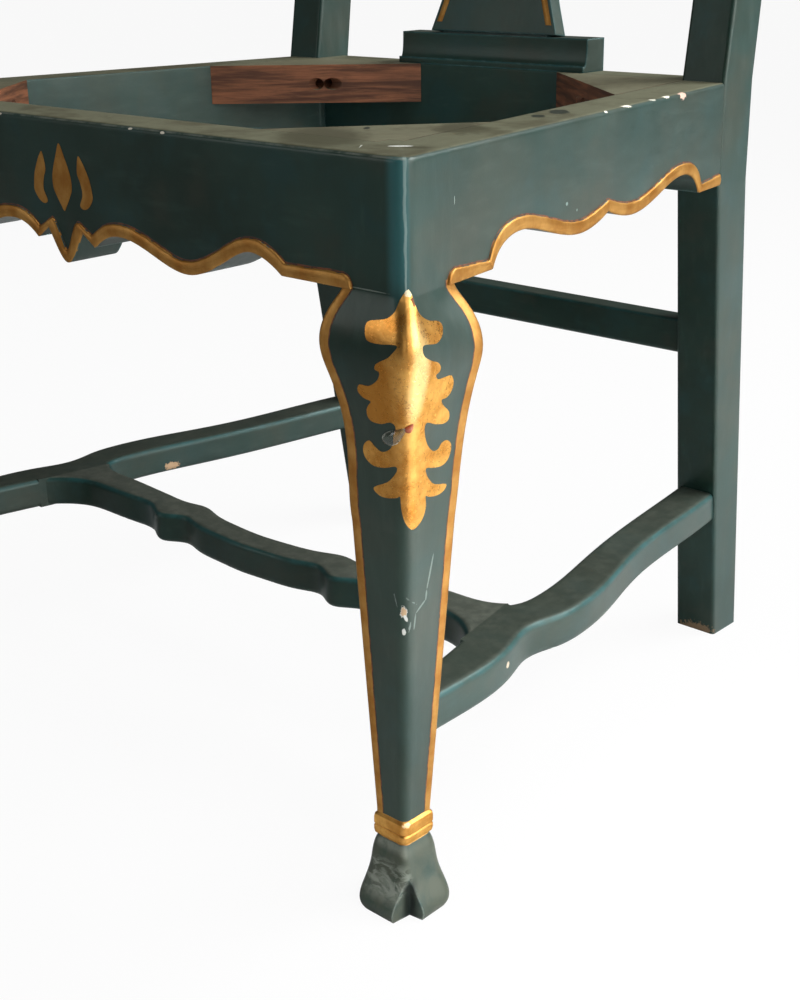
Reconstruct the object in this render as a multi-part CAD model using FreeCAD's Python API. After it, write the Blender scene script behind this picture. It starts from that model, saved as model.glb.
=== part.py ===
import FreeCAD, Part
import math
import os

from FreeCAD import Vector

# Seat frame: the plan narrows towards the back
SEAT_HEIGHT = 440.0
FRONT_WIDTH = 563.0
REAR_WIDTH = 432.0
SEAT_RUN = 396.0              # front face to the front of the rear posts
RAIL_DEPTH = 69.0             # at the flat ends of the scalloped edge
RAIL_THICK = 34.0
RAIL_TOP_SOFT = 3.0
REAR_RAIL_THICK = 26.0
REAR_RAIL_SETBACK = 6.0       # behind the front of the rear posts

# Gilt bead along the scalloped edges
BEAD_WIDTH = 7.5
BEAD_PROUD = 1.0

# Scalloped edges, as (share of the way from the front leg to the rail's middle, depth below the seat top)
FRONT_FLAT_SHARE = 0.186
FRONT_WAVE = ((0.2283, 63.0), (0.2833, 59.4), (0.3805, 67.7), (0.5116, 79.0), (0.6596, 70.5),
              (0.7484, 65.2))
FRONT_CUSP = (0.8778, 74.3)
FRONT_NOTCH = (0.928, 66.5)
FRONT_PENDANT = ((0.9505, 75.5),)
PENDANT_DEPTH = 87.0
SIDE_FLAT_SHARE = 0.2133
SIDE_WAVE = ((0.2694, 57.8), (0.3648, 53.2), (0.5836, 60.2), (0.7969, 67.0), (0.9204, 64.2))
SIDE_CUSP_DEPTH = 59.5

# Front legs: a square post, a knee, a straight taper, a ring and a cloven hoof
FRONT_POST = 45.0
POST_CORNER_SOFT = 9.0
LEG_EDGE_SOFT = 2.5
KNEE_DROP = 29.0              # widest part of the knee, below the rail
# Knee stations: drop below the rail, outer faces, inner side face, back face
KNEE_CURVE = ((14.0, -4.0, 54.0, 51.2), (KNEE_DROP, -6.5, 56.6, 52.0), (46.0, -4.5, 52.0, 51.3),
              (64.0, -0.5, 48.0, 50.0), (93.0, 3.8, 47.0, 49.0))
TAPER_DROP = 131.0            # where the knee runs out into the taper, below the rail
TAPER_OUTER = 6.2
TAPER_INNER = 46.5
ANKLE_HEIGHT = 56.0
ANKLE_OUTER = 12.5
ANKLE_INNER = 34.8
LEG_LEAN = 7.5                # the foot stands this far in from the knee
RING_HEIGHT = 15.0
RING_PROUD = 1.8
# Ring profile: share of its height from the top, share of its projection
RING_PROFILE = ((0.0, 0.0), (0.1, 0.8), (0.25, 1.0), (0.5, 1.0), (0.57, 0.72), (0.64, 1.0), (0.8, 1.0),
                (0.93, 0.8), (1.0, 0.0))
HOOF_NECK_OUT = 0.5           # the hoof starts this far outside the ankle
CLEFT_HEIGHT = 25.0
# Hoof stations: height, outer faces, inner faces
HOOF_CURVE = ((CLEFT_HEIGHT, 4.5, 36.0), (14.0, -1.5, 36.0), (4.5, -6.2, 35.0))
HOOF_SOLE_OUTER = -5.4
HOOF_SOLE_INNER = 32.5
HOOF_EDGE_SOFT = 7.0
CLEFT_HALF_WIDTH = 8.5
CLEFT_DEPTH = 15.0            # along the diagonal, from the sole's corner
CLEFT_SIDE = 2.5              # the cleft stands this far to the outer side of the ridge
CLEFT_SPREAD = 2.5            # how far the cut runs out past the faces of the hoof

# Rear posts: raked legs below the seat, leaning back stiles above it
REAR_POST_WIDTH = 35.0
REAR_POST_DEPTH = 38.0
REAR_FOOT_DEPTH = 34.0
REAR_RAKE = 51.0
REAR_DRAW_IN = 11.0           # rear feet stand this far in from the seat width
STILE_TOP_WIDTH = 28.0
STILE_TOP_DEPTH = 24.0
STILE_TOP_IN = 6.0
POST_EDGE_SOFT = 3.0
BACK_LEAN = 8.5               # degrees
STILE_LENGTH = 600.0          # along the lean, from the seat top to the crest rail

# Stretchers, as plan outlines (in from the side face, share of the way from the front face to the rear leg)
SIDE_STRETCHER_TOP = 128.0
STRETCHER_HEIGHT = 24.0
STRETCHER_EDGE_SOFT = 4.0
STRETCHER_OUTER = ((13.5, 0.0778), (8.0, 0.1717), (6.0, 0.2426), (8.3, 0.293), (11.2, 0.3433),
                   (8.5, 0.3731), (2.5, 0.4097), (-2.0, 0.4692), (-1.5, 0.5493), (3.5, 0.6409),
                   (6.5, 0.721), (5.5, 0.8469), (4.0, 1.03))
STRETCHER_INNER_FRONT = ((36.5, 0.0778), (37.2, 0.1762), (39.0, 0.2472))
STRETCHER_INNER_REAR = ((41.0, 0.3868), (35.5, 0.4074), (32.0, 0.444), (31.0, 0.5127), (33.0, 0.5882),
                        (35.5, 0.6866), (35.5, 0.8469), (34.5, 1.03))
REAR_STRETCHER_TOP = 264.0
REAR_STRETCHER_HEIGHT = 26.0
REAR_STRETCHER_THICK = 20.0
REAR_STRETCHER_SETBACK = 6.0
REAR_STRETCHER_SOFT = 2.5

# Cross stretcher, as plan outlines (share of the way from its middle to the joint, back from the joint)
CROSS_BACK = ((0.0, 8.9), (0.1364, 10.9), (0.2547, 15.4), (0.3456, 20.9), (0.4138, 18.9), (0.5093, 19.4),
              (0.6594, 22.4), (0.8004, 24.4), (0.9004, 26.4), (0.9504, 31.4))
CROSS_FRONT = ((0.0, -14.6), (0.1137, -13.1), (0.2501, -9.1), (0.3365, -5.6), (0.4184, -13.1),
               (0.4957, -5.6), (0.6367, -2.6), (0.7958, -2.6), (0.8913, -4.6), (0.9641, -12.6),
               (1.0187, -24.6))
CROSS_REACH = 30.0            # blank length past the joint, before the ends are fitted

# Corner blocks, measured along the rails from their inner corner
FRONT_BLOCK_LEG = 100.0
REAR_BLOCK_LEG = 112.0
BLOCK_HEIGHT = 30.0
BLOCK_CLEAR = 0.3
SCREW_RADIUS = 2.2
SCREW_HEAD_RADIUS = 4.5
SCREW_HEAD_HEIGHT = 3.0
SCREW_BITE = 18.0             # length in the rail
SCREW_SEAT = 16.0             # block left under the head
SCREW_PLACE = 0.42            # along the block's leg
SCREW_DROP = 15.0             # below the seat top

# Back: crest rail, flat splat and its shoe
CREST_HALF_WIDTH = 226.0
CREST_THICK = 26.0
CREST_LOWER = ((-14.0, 150.0), (10.0, 95.0), (2.0, 55.0))
CREST_MIDDLE_LOW = -6.0
CREST_END_LOW = 0.0
CREST_END_HIGH = 44.0
CREST_UPPER = ((60.0, 190.0), (54.0, 140.0), (66.0, 90.0), (92.0, 40.0))
CREST_MIDDLE_HIGH = 98.0
SPLAT_THICK = 12.0
SPLAT_SETBACK = 8.0           # behind the front of the stiles
SPLAT_FOOT_HALF = 62.0
SPLAT_PROFILE = ((50.0, 0.06), (38.0, 0.14), (34.0, 0.24), (52.0, 0.36), (86.0, 0.52), (98.0, 0.64),
                 (84.0, 0.76), (52.0, 0.85), (44.0, 0.91), (60.0, 0.965))
SPLAT_HEAD_HALF = 78.0
SHOE_HALF_WIDTH = 92.0
SHOE_HEIGHT = 24.0
SHOE_COVE = 5.0

# Mortise and tenon joints
GLUE_GAP = 0.15
TENON_THICK = 10.0
TENON_FACE_SETBACK = 11.0     # from the outer face of the frame
TENON_LENGTH = 20.0
TENON_SHOULDER = 12.0         # below the seat top
TENON_WIDTH = 38.0
REAR_TENON_LENGTH = 17.0
REAR_RAIL_TENON_SETBACK = 21.0
REAR_RAIL_TENON_THICK = 10.0
STRETCHER_TENON_LENGTH = 14.0
STRETCHER_TENON_HEIGHT = 12.0
STRETCHER_TENON_THICK = 9.0
CROSS_TENON_LENGTH = 12.0
CROSS_TENON_WIDTH = 22.0
STILE_TENON = 14.0
STILE_TENON_LENGTH = 28.0
SPLAT_TENON_LENGTH = 10.0
SPLAT_TENON_THICK = 7.0

# Drafting allowances
OVERCUT = 1.0                 # a cut runs this far past the face that it opens
SAME_PLACE = 0.01
SAME_SHARE = 0.001

# Derived sizes
HALF_FRONT = FRONT_WIDTH / 2
HALF_REAR = REAR_WIDTH / 2
SIDE_LENGTH = math.hypot(HALF_FRONT - HALF_REAR, SEAT_RUN)
SIDE_DIR = Vector((HALF_REAR - HALF_FRONT) / SIDE_LENGTH, SEAT_RUN / SIDE_LENGTH, 0)
RAIL_SKEW_THICK = RAIL_THICK / SIDE_DIR.y
UNDERSIDE = SEAT_HEIGHT - RAIL_DEPTH
LEAN = math.radians(BACK_LEAN)
UP = Vector(0, 0, 1)
RIGHT = Vector(1, 0, 0)
REAR = Vector(0, 1, 0)
MIDDLE = Vector(0, 0, 0)
STRETCHER_FLOOR = SIDE_STRETCHER_TOP - STRETCHER_HEIGHT
STRETCHER_MID = SIDE_STRETCHER_TOP - STRETCHER_HEIGHT / 2
BACK_UP = Vector(0, math.sin(LEAN), math.cos(LEAN))
BACK_IN = Vector(0, math.cos(LEAN), -math.sin(LEAN))


def skew(a, b, z):
    """Point a in from the right side face, b back along that side, at height z."""
    return Vector(HALF_FRONT - a, 0, z) + SIDE_DIR * b


def on_back(x, w, depth=0.0):
    """Point x right of the middle, w up the leaning back and depth behind its front."""
    return Vector(x, SEAT_RUN, SEAT_HEIGHT) + BACK_UP * w + BACK_IN * depth


def mirrored(shape):
    """The same shape on the other side of the chair."""
    return shape.mirror(MIDDLE, RIGHT)


def both_sides(shape):
    """A shape and its mirror image, as a list."""
    return [shape, mirrored(shape)]


def prism(points, travel):
    """Straight-sided solid from a closed outline."""
    return Part.Face(Part.makePolygon(points + points[:1])).extrude(travel)


def skew_block(a0, a1, b0, b1, z0, z1):
    """Block whose sides follow the front and the right side of the seat."""
    base = [skew(a0, b0, z0), skew(a1, b0, z0), skew(a1, b1, z0), skew(a0, b1, z0)]
    return prism(base, UP * (z1 - z0))


def box(x0, x1, y0, y1, z0, z1):
    """Upright box between two corners."""
    return Part.makeBox(x1 - x0, y1 - y0, z1 - z0, Vector(x0, y0, z0))


def smooth(points):
    """Smooth curve through the points."""
    curve = Part.BSplineCurve()
    curve.interpolate(points)
    return curve


def wire_of(edges):
    """Closed or open wire from edges in any order."""
    return Part.Wire(Part.__sortEdges__(edges))


def soft_section(corners, softness):
    """Closed outline with each corner eased by its own amount, or sharp where that is 0."""
    count = len(corners)
    starts = []
    ends = []
    for i in range(count):
        before = (corners[i - 1] - corners[i]).normalize()
        after = (corners[(i + 1) % count] - corners[i]).normalize()
        starts.append(corners[i] + before * softness[i])
        ends.append(corners[i] + after * softness[i])
    edges = []
    for i in range(count):
        if softness[i] > 0:
            corner = Part.BezierCurve()
            corner.setPoles([starts[i], corners[i], ends[i]])
            edges.append(corner.toShape())
        edges.append(Part.makeLine(ends[i], starts[(i + 1) % count]))
    return Part.Wire(edges)


def leg_lean(z):
    """How far in a front leg has leaned at height z."""
    return LEG_LEAN * (UNDERSIDE - z) / UNDERSIDE


def leg_point(a, b, z):
    """Point of a front leg, which follows the seat at the rail and turns square at the knee."""
    turn = min(1.0, (UNDERSIDE - z) / KNEE_DROP)
    return Vector(HALF_FRONT - a - leg_lean(z), 0, z) + SIDE_DIR * (b * (1 - turn)) + REAR * (b * turn)


def leg_section(z, outer, inner, back, ridge, edge=LEG_EDGE_SOFT):
    """Section of a front leg; the ridge is its outer front corner."""
    pairs = ((outer, outer), (inner, outer), (inner, back), (outer, back))
    corners = [leg_point(a, b, z) for a, b in pairs]
    return soft_section(corners, [ridge, edge, edge, edge])


def leg_at(z):
    """Outer and inner faces of the straight taper of a front leg at height z."""
    share = (z - ANKLE_HEIGHT) / (UNDERSIDE - TAPER_DROP - ANKLE_HEIGHT)
    outer = ANKLE_OUTER + (TAPER_OUTER - ANKLE_OUTER) * share
    inner = ANKLE_INNER + (TAPER_INNER - ANKLE_INNER) * share
    return outer, inner


def knee():
    """Leg from the post down to the start of the taper."""
    sections = [leg_section(UNDERSIDE, 0, FRONT_POST, FRONT_POST, POST_CORNER_SOFT)]
    for drop, outer, inner, back in KNEE_CURVE:
        sections.append(leg_section(UNDERSIDE - drop, outer, inner, back, POST_CORNER_SOFT))
    sections.append(leg_section(UNDERSIDE - TAPER_DROP, TAPER_OUTER, TAPER_INNER, TAPER_INNER, POST_CORNER_SOFT))
    return Part.makeLoft(sections, True, False)


def taper():
    """Straight lower part of the leg."""
    top = leg_section(UNDERSIDE - TAPER_DROP, TAPER_OUTER, TAPER_INNER, TAPER_INNER, POST_CORNER_SOFT)
    foot = leg_section(ANKLE_HEIGHT, ANKLE_OUTER, ANKLE_INNER, ANKLE_INNER, 2 * LEG_EDGE_SOFT)
    return Part.makeLoft([top, foot], True, True)


def ring():
    """Square ring above the hoof: two eased beads with a shallow groove between them."""
    sections = []
    for level, out in RING_PROFILE:
        z = ANKLE_HEIGHT - RING_HEIGHT * level
        grow = RING_PROUD * out
        outer = ANKLE_OUTER - grow
        inner = ANKLE_INNER + grow
        sections.append(leg_section(z, outer, inner, inner, 2 * LEG_EDGE_SOFT))
    return Part.makeLoft(sections, True, True)


def cleft():
    """Wedge between the two toes, running out up the ridge of the hoof."""
    corner = HOOF_SOLE_OUTER
    deep = corner + CLEFT_DEPTH / math.sqrt(2)
    across = corner + CLEFT_HALF_WIDTH * math.sqrt(2)
    wide = deep + (across - deep) * CLEFT_SPREAD
    front = deep + (corner - deep) * CLEFT_SPREAD
    side = CLEFT_SIDE / math.sqrt(2)
    pairs = ((deep, deep), (wide, front), (front, front), (front, wide))
    base = [leg_point(a - side, b + side, -OVERCUT) for a, b in pairs]
    tip_in = HOOF_CURVE[0][1] + HOOF_EDGE_SOFT / 4
    tip = leg_point(tip_in - side, tip_in + side, CLEFT_HEIGHT)
    faces = [Part.Face(Part.makePolygon(base + base[:1]))]
    for i in range(len(base)):
        faces.append(Part.Face(Part.makePolygon([base[i], base[(i + 1) % len(base)], tip, base[i]])))
    return Part.makeSolid(Part.makeShell(faces))


def hoof_section(z, outer, inner, soft):
    """Square section of the hoof with all its corners eased alike."""
    return leg_section(z, outer, inner, inner, soft, soft)


def hoof():
    """Foot that spreads towards the front, drawn in at the sole, with its cleft."""
    neck_outer = ANKLE_OUTER - HOOF_NECK_OUT
    neck_inner = ANKLE_INNER + HOOF_NECK_OUT
    sections = [hoof_section(ANKLE_HEIGHT - RING_HEIGHT, neck_outer, neck_inner, 2 * LEG_EDGE_SOFT)]
    for height, outer, inner in HOOF_CURVE:
        sections.append(hoof_section(height, outer, inner, HOOF_EDGE_SOFT))
    sections.append(hoof_section(0, HOOF_SOLE_OUTER, HOOF_SOLE_INNER, HOOF_EDGE_SOFT))
    return Part.makeLoft(sections, True, False).cut(cleft())


def post():
    """Square top of the front leg, flush with the rails and eased on top like them."""
    plan = leg_section(UNDERSIDE, 0, FRONT_POST, FRONT_POST, POST_CORNER_SOFT, 0)
    body = Part.Face(plan).extrude(UP * RAIL_DEPTH)
    outside = []
    for edge in body.Edges:
        middle = edge.valueAt((edge.FirstParameter + edge.LastParameter) / 2)
        across = skew(0, 0, 0).x + SIDE_DIR.x * middle.y / SIDE_DIR.y - middle.x
        near_front = middle.y < POST_CORNER_SOFT or across < POST_CORNER_SOFT
        if abs(middle.z - SEAT_HEIGHT) < SAME_PLACE and near_front:
            outside.append(edge)
    return body.makeFillet(RAIL_TOP_SOFT, outside)


def frame_tenon(axis, gap=0.0):
    """Tenon of the front rail (axis x) or of a side rail (axis y) in the front post."""
    along = (FRONT_POST - TENON_LENGTH - gap, FRONT_POST)
    across = (TENON_FACE_SETBACK - gap, TENON_FACE_SETBACK + TENON_THICK + gap)
    top = SEAT_HEIGHT - TENON_SHOULDER
    low = top - TENON_WIDTH
    if axis == "x":
        return skew_block(*along, *across, low - gap, top + gap)
    return skew_block(*across, *along, low - gap, top + gap)


def side_rear_tenon(gap=0.0):
    """Tenon of a side rail in the front of the rear post."""
    across = (TENON_FACE_SETBACK - gap, TENON_FACE_SETBACK + TENON_THICK + gap)
    top = SEAT_HEIGHT - TENON_SHOULDER
    end = SIDE_LENGTH + REAR_TENON_LENGTH + gap
    return skew_block(*across, SIDE_LENGTH, end, top - TENON_WIDTH - gap, top + gap)


def rear_rail_tenon(gap=0.0):
    """Tenon of the rear rail in the inner face of the right rear post."""
    x = HALF_REAR - REAR_POST_WIDTH
    y = SEAT_RUN + REAR_RAIL_TENON_SETBACK
    top = SEAT_HEIGHT - TENON_SHOULDER
    return box(x, x + REAR_TENON_LENGTH + gap, y - gap, y + REAR_RAIL_TENON_THICK + gap,
               top - TENON_WIDTH - gap, top + gap)


def side_stretcher_tenon(end, gap=0.0):
    """Tenon of a side stretcher in the front leg or in the rear post."""
    if end == "front":
        shoulder = leg_at(STRETCHER_MID)[1] / SIDE_DIR.y
        middle = sum(leg_at(STRETCHER_MID)) / 2 + leg_lean(STRETCHER_MID) + SIDE_DIR.x * shoulder
        along = (shoulder - STRETCHER_TENON_LENGTH - gap, shoulder + STRETCHER_TENON_LENGTH)
    else:
        shoulder = stretcher_run()
        middle = (STRETCHER_OUTER[-1][0] + STRETCHER_INNER_REAR[-1][0]) / 2
        along = (shoulder - STRETCHER_TENON_LENGTH, shoulder + STRETCHER_TENON_LENGTH + gap)
    half = STRETCHER_TENON_THICK / 2 + gap
    tall = STRETCHER_TENON_HEIGHT / 2 + gap
    return skew_block(middle - half, middle + half, *along, STRETCHER_MID - tall, STRETCHER_MID + tall)


def front_leg():
    """Right front leg with the mortises for both rails and the stretcher."""
    leg = post().fuse([knee(), taper(), ring(), hoof()]).removeSplitter()
    mortises = [frame_tenon("x", GLUE_GAP), frame_tenon("y", GLUE_GAP), side_stretcher_tenon("front", GLUE_GAP)]
    return leg.cut(mortises)


def offset_points(curve, points, width, facing):
    """The points moved off a curve by width, towards the wood above it."""
    moved = []
    for point in points:
        along = curve.tangent(curve.parameter(point))[0]
        across = facing.cross(along).normalize()
        if across.z < 0:
            across = across * -1
        moved.append(point + across * width)
    return moved


def run_edge(run):
    """Edge through the points of one run: a line for two points, else a smooth curve."""
    if len(run) == 2:
        return Part.makeLine(run[0], run[1])
    return smooth(run).toShape()


def scallop(runs, facing):
    """Lower edge of a rail and the upper edge of its bead, each as a list of edges."""
    high = []
    for run in runs:
        if len(run) == 2:
            high.append([point + UP * BEAD_WIDTH for point in run])
        else:
            high.append(offset_points(smooth(run), run, BEAD_WIDTH, facing))
    for before, after in zip(high, high[1:]):
        shared = (before[-1] + after[0]) * 0.5
        before[-1] = shared
        after[0] = shared
    return [run_edge(run) for run in runs], [run_edge(run) for run in high]


def scalloped_rail(runs, travel, facing):
    """Rail with a scalloped lower edge and a proud bead along it."""
    lower, upper = scallop(runs, facing)
    start = runs[0][0]
    end = runs[-1][-1]
    top_start = Vector(start.x, start.y, SEAT_HEIGHT)
    top_end = Vector(end.x, end.y, SEAT_HEIGHT)
    corners = [end, top_end, top_start, start]
    outline = lower + [Part.makeLine(p, q) for p, q in zip(corners, corners[1:])]
    rail = Part.Face(wire_of(outline)).extrude(travel)
    top_edges = [edge for edge in rail.Edges if on_line(edge, top_start, top_end)]
    rail = rail.makeFillet(RAIL_TOP_SOFT, top_edges)
    ends = [Part.makeLine(start, start + UP * BEAD_WIDTH), Part.makeLine(end, end + UP * BEAD_WIDTH)]
    band = Part.Face(wire_of(lower + upper + ends))
    out = Vector(travel).normalize() * -BEAD_PROUD
    return rail.fuse(band.extrude(out)).removeSplitter()


def on_line(edge, start, end):
    """Whether an edge runs from start to end."""
    ends = [vertex.Point for vertex in edge.Vertexes]
    away = [min(p.distanceToPoint(start), p.distanceToPoint(end)) for p in ends]
    return len(ends) == 2 and max(away) < SAME_PLACE


def front_edge_point(share, depth):
    """Point of the front rail's lower edge, from the right leg towards the middle."""
    distance = FRONT_POST + (HALF_FRONT - FRONT_POST) * share
    return skew(distance, 0, SEAT_HEIGHT - depth)


def flipped(points):
    """The points mirrored to the other side of the chair, in reverse order."""
    return [Vector(-p.x, p.y, p.z) for p in reversed(points)]


def front_rail():
    """Front rail with its notched pendant and both tenons."""
    flat = [front_edge_point(0, RAIL_DEPTH), front_edge_point(FRONT_FLAT_SHARE, RAIL_DEPTH)]
    wave = [front_edge_point(*pair) for pair in ((FRONT_FLAT_SHARE, RAIL_DEPTH),) + FRONT_WAVE + (FRONT_CUSP,)]
    notch = [front_edge_point(*pair) for pair in (FRONT_CUSP, FRONT_NOTCH)]
    half = [front_edge_point(*pair) for pair in (FRONT_NOTCH,) + FRONT_PENDANT]
    pendant = half + [Vector(0, 0, SEAT_HEIGHT - PENDANT_DEPTH)] + flipped(half)
    runs = [flat, wave, notch, pendant, flipped(notch), flipped(wave), flipped(flat)]
    rail = scalloped_rail(runs, REAR * RAIL_THICK, REAR)
    over = 2 * RAIL_THICK
    beyond = skew_block(-over, FRONT_POST, -over, over, UNDERSIDE - over, SEAT_HEIGHT + over)
    rail = rail.cut(both_sides(beyond))
    tenons = both_sides(frame_tenon("x"))
    return rail.fuse(tenons).removeSplitter().cut(screw_holes("front", "x"))


def side_edge_point(share, depth):
    """Point of the right side rail's lower edge; the share is 1 at its middle and 2 at its rear end."""
    b = FRONT_POST + (SIDE_LENGTH - FRONT_POST) / 2 * share
    return skew(0, b, SEAT_HEIGHT - depth)


def side_rail():
    """Right side rail, alike on both sides of its middle cusp."""
    first = ((SIDE_FLAT_SHARE, RAIL_DEPTH),) + SIDE_WAVE + ((1.0, SIDE_CUSP_DEPTH),)
    second = [(2 - share, depth) for share, depth in reversed(first)]
    runs = [
        [side_edge_point(0, RAIL_DEPTH), side_edge_point(SIDE_FLAT_SHARE, RAIL_DEPTH)],
        [side_edge_point(*pair) for pair in first],
        [side_edge_point(*pair) for pair in second],
        [side_edge_point(2 - SIDE_FLAT_SHARE, RAIL_DEPTH), side_edge_point(2, RAIL_DEPTH)],
    ]
    facing = Vector(SIDE_DIR.y, -SIDE_DIR.x, 0)
    rail = scalloped_rail(runs, RIGHT * -RAIL_SKEW_THICK, facing)
    rail = rail.fuse([frame_tenon("y"), side_rear_tenon()]).removeSplitter()
    return rail.cut(screw_holes("front", "y") + screw_holes("rear", "y"))


def rear_rail():
    """Plain rear rail between the rear posts."""
    half = HALF_REAR - REAR_POST_WIDTH
    y = SEAT_RUN + REAR_RAIL_SETBACK
    rail = box(-half, half, y, y + REAR_RAIL_THICK, UNDERSIDE, SEAT_HEIGHT)
    rail = rail.fuse(both_sides(rear_rail_tenon())).removeSplitter()
    return rail.cut(screw_holes("rear", "x"))


def post_rake(z):
    """How far back the front of a rear leg stands at height z below the rail."""
    return REAR_RAKE * (UNDERSIDE - z) / UNDERSIDE


def post_section(outer, width, front, depth, base=None):
    """Section of the right rear post, level or square to the leaning back."""
    if base is None:
        corners = [on_back(outer, front), on_back(outer - width, front),
                   on_back(outer - width, front, depth), on_back(outer, front, depth)]
    else:
        corners = [Vector(outer, front, base), Vector(outer - width, front, base),
                   Vector(outer - width, front + depth, base), Vector(outer, front + depth, base)]
    return soft_section(corners, [POST_EDGE_SOFT] * len(corners))


def rear_post_body():
    """Right rear leg and back stile without joints."""
    sections = [
        post_section(HALF_REAR - REAR_DRAW_IN, REAR_POST_WIDTH, SEAT_RUN + REAR_RAKE, REAR_FOOT_DEPTH, 0),
        post_section(HALF_REAR, REAR_POST_WIDTH, SEAT_RUN, REAR_POST_DEPTH, UNDERSIDE),
        post_section(HALF_REAR, REAR_POST_WIDTH, SEAT_RUN, REAR_POST_DEPTH, SEAT_HEIGHT),
        post_section(HALF_REAR - STILE_TOP_IN, STILE_TOP_WIDTH, STILE_LENGTH, STILE_TOP_DEPTH),
    ]
    return Part.makeLoft(sections, True, True)


def stile_tenon(gap=0.0):
    """Square tenon on the top of the right stile."""
    x = HALF_REAR - STILE_TOP_IN - STILE_TOP_WIDTH / 2
    half = STILE_TENON / 2 + gap
    depth = STILE_TOP_DEPTH / 2
    base = [on_back(x - half, STILE_LENGTH, depth - half), on_back(x + half, STILE_LENGTH, depth - half),
            on_back(x + half, STILE_LENGTH, depth + half), on_back(x - half, STILE_LENGTH, depth + half)]
    return prism(base, BACK_UP * (STILE_TENON_LENGTH + gap))


def rear_stretcher_tenon(gap=0.0):
    """Tenon of the rear stretcher in the right rear leg."""
    z = REAR_STRETCHER_TOP - REAR_STRETCHER_HEIGHT / 2
    y = SEAT_RUN + post_rake(z) + REAR_STRETCHER_SETBACK + REAR_STRETCHER_THICK / 2
    inner = HALF_REAR - REAR_POST_WIDTH
    half = STRETCHER_TENON_THICK / 2 + gap
    tall = STRETCHER_TENON_HEIGHT / 2 + gap
    return box(inner - STRETCHER_TENON_LENGTH, inner + STRETCHER_TENON_LENGTH + gap, y - half, y + half,
               z - tall, z + tall)


def rear_post():
    """Right rear post with its tenon and mortises."""
    body = rear_post_body().fuse(stile_tenon())
    mortises = [side_rear_tenon(GLUE_GAP), rear_rail_tenon(GLUE_GAP), rear_stretcher_tenon(GLUE_GAP),
                side_stretcher_tenon("rear", GLUE_GAP)]
    return body.cut(mortises)


def eased(solid, soft, keep_sharp):
    """Solid with its level edges rounded, apart from those that lie in keep_sharp."""
    edges = []
    for edge in solid.Edges:
        box_of = edge.BoundBox
        middle = edge.valueAt((edge.FirstParameter + edge.LastParameter) / 2)
        if box_of.ZLength < SAME_PLACE and not keep_sharp(middle):
            edges.append(edge)
    return solid.makeFillet(soft, edges)


def stretcher_run():
    """Length along the side from the front face to the rear leg, at the stretcher."""
    return (SEAT_RUN + post_rake(STRETCHER_MID)) / SIDE_DIR.y


def stretcher_points(pairs):
    """Points of the right side stretcher's outline at its lower face."""
    return [skew(a, stretcher_run() * share, STRETCHER_FLOOR) for a, share in pairs]


def side_stretcher_plan():
    """Outline of the right side stretcher, as edges at its lower face."""
    outer = stretcher_points(STRETCHER_OUTER)
    front = stretcher_points(STRETCHER_INNER_FRONT)
    rear = stretcher_points(STRETCHER_INNER_REAR)
    return [
        smooth(outer).toShape(), Part.makeLine(outer[-1], rear[-1]), smooth(rear).toShape(),
        Part.makeLine(rear[0], front[-1]), smooth(front).toShape(), Part.makeLine(front[0], outer[0]),
    ]


def side_stretcher_blank():
    """Right side stretcher before its ends are fitted."""
    return Part.Face(wire_of(side_stretcher_plan())).extrude(UP * STRETCHER_HEIGHT)


def stretcher_end_or_joint(point):
    """Whether a point lies at an end of the side stretcher or at its joint with the cross stretcher."""
    b = point.y / SIDE_DIR.y
    a = HALF_FRONT + SIDE_DIR.x * b - point.x
    share = b / stretcher_run()
    at_end = share < STRETCHER_OUTER[0][1] + SAME_SHARE or share > STRETCHER_OUTER[-1][1] - SAME_SHARE
    joint = STRETCHER_INNER_FRONT[-1][1] < share < STRETCHER_INNER_REAR[0][1] and a > STRETCHER_INNER_FRONT[0][0]
    return at_end or joint


def cross_bearing():
    """Wood of the right side stretcher that stays square, where the cross stretcher's shoulder meets it."""
    front_in, front_share = STRETCHER_INNER_FRONT[-1]
    rear_in, rear_share = STRETCHER_INNER_REAR[0]
    run = stretcher_run()
    block = skew_block(front_in - 2 * STRETCHER_EDGE_SOFT, rear_in + OVERCUT, run * front_share, run * rear_share,
                       STRETCHER_FLOOR, SIDE_STRETCHER_TOP)
    return side_stretcher_blank().common(block)


def side_stretcher():
    """Right side stretcher, tenoned into the front leg and the rear post."""
    body = eased(side_stretcher_blank(), STRETCHER_EDGE_SOFT, stretcher_end_or_joint).fuse(cross_bearing())
    body = body.cut([taper(), rear_post_body()])
    body = max(body.Solids, key=lambda piece: piece.Volume)
    body = body.fuse([side_stretcher_tenon("front"), side_stretcher_tenon("rear")]).removeSplitter()
    return body.cut(cross_tenon(GLUE_GAP))


def cross_joint_middle():
    """Distance along the side of the middle of the cross stretcher's joint."""
    return stretcher_run() * (STRETCHER_INNER_FRONT[-1][1] + STRETCHER_INNER_REAR[0][1]) / 2


def cross_tenon(gap=0.0):
    """Tenon of the cross stretcher in the right side stretcher."""
    inner = STRETCHER_INNER_FRONT[-1][0]
    middle = cross_joint_middle()
    half = CROSS_TENON_WIDTH / 2 + gap
    tall = STRETCHER_TENON_HEIGHT / 2 + gap
    return skew_block(inner - CROSS_TENON_LENGTH - gap, inner + CROSS_TENON_LENGTH, middle - half, middle + half,
                      STRETCHER_MID - tall, STRETCHER_MID + tall)


def cross_points(pairs):
    """Points of one edge of the cross stretcher at its lower face, from side to side."""
    joint = skew(STRETCHER_INNER_FRONT[-1][0], cross_joint_middle(), STRETCHER_FLOOR)
    half = [Vector(joint.x * share, joint.y + back, STRETCHER_FLOOR) for share, back in pairs]
    end = Vector(joint.x + CROSS_REACH, half[-1].y, half[-1].z)
    return flipped(half)[:-1] + half, end


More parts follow.
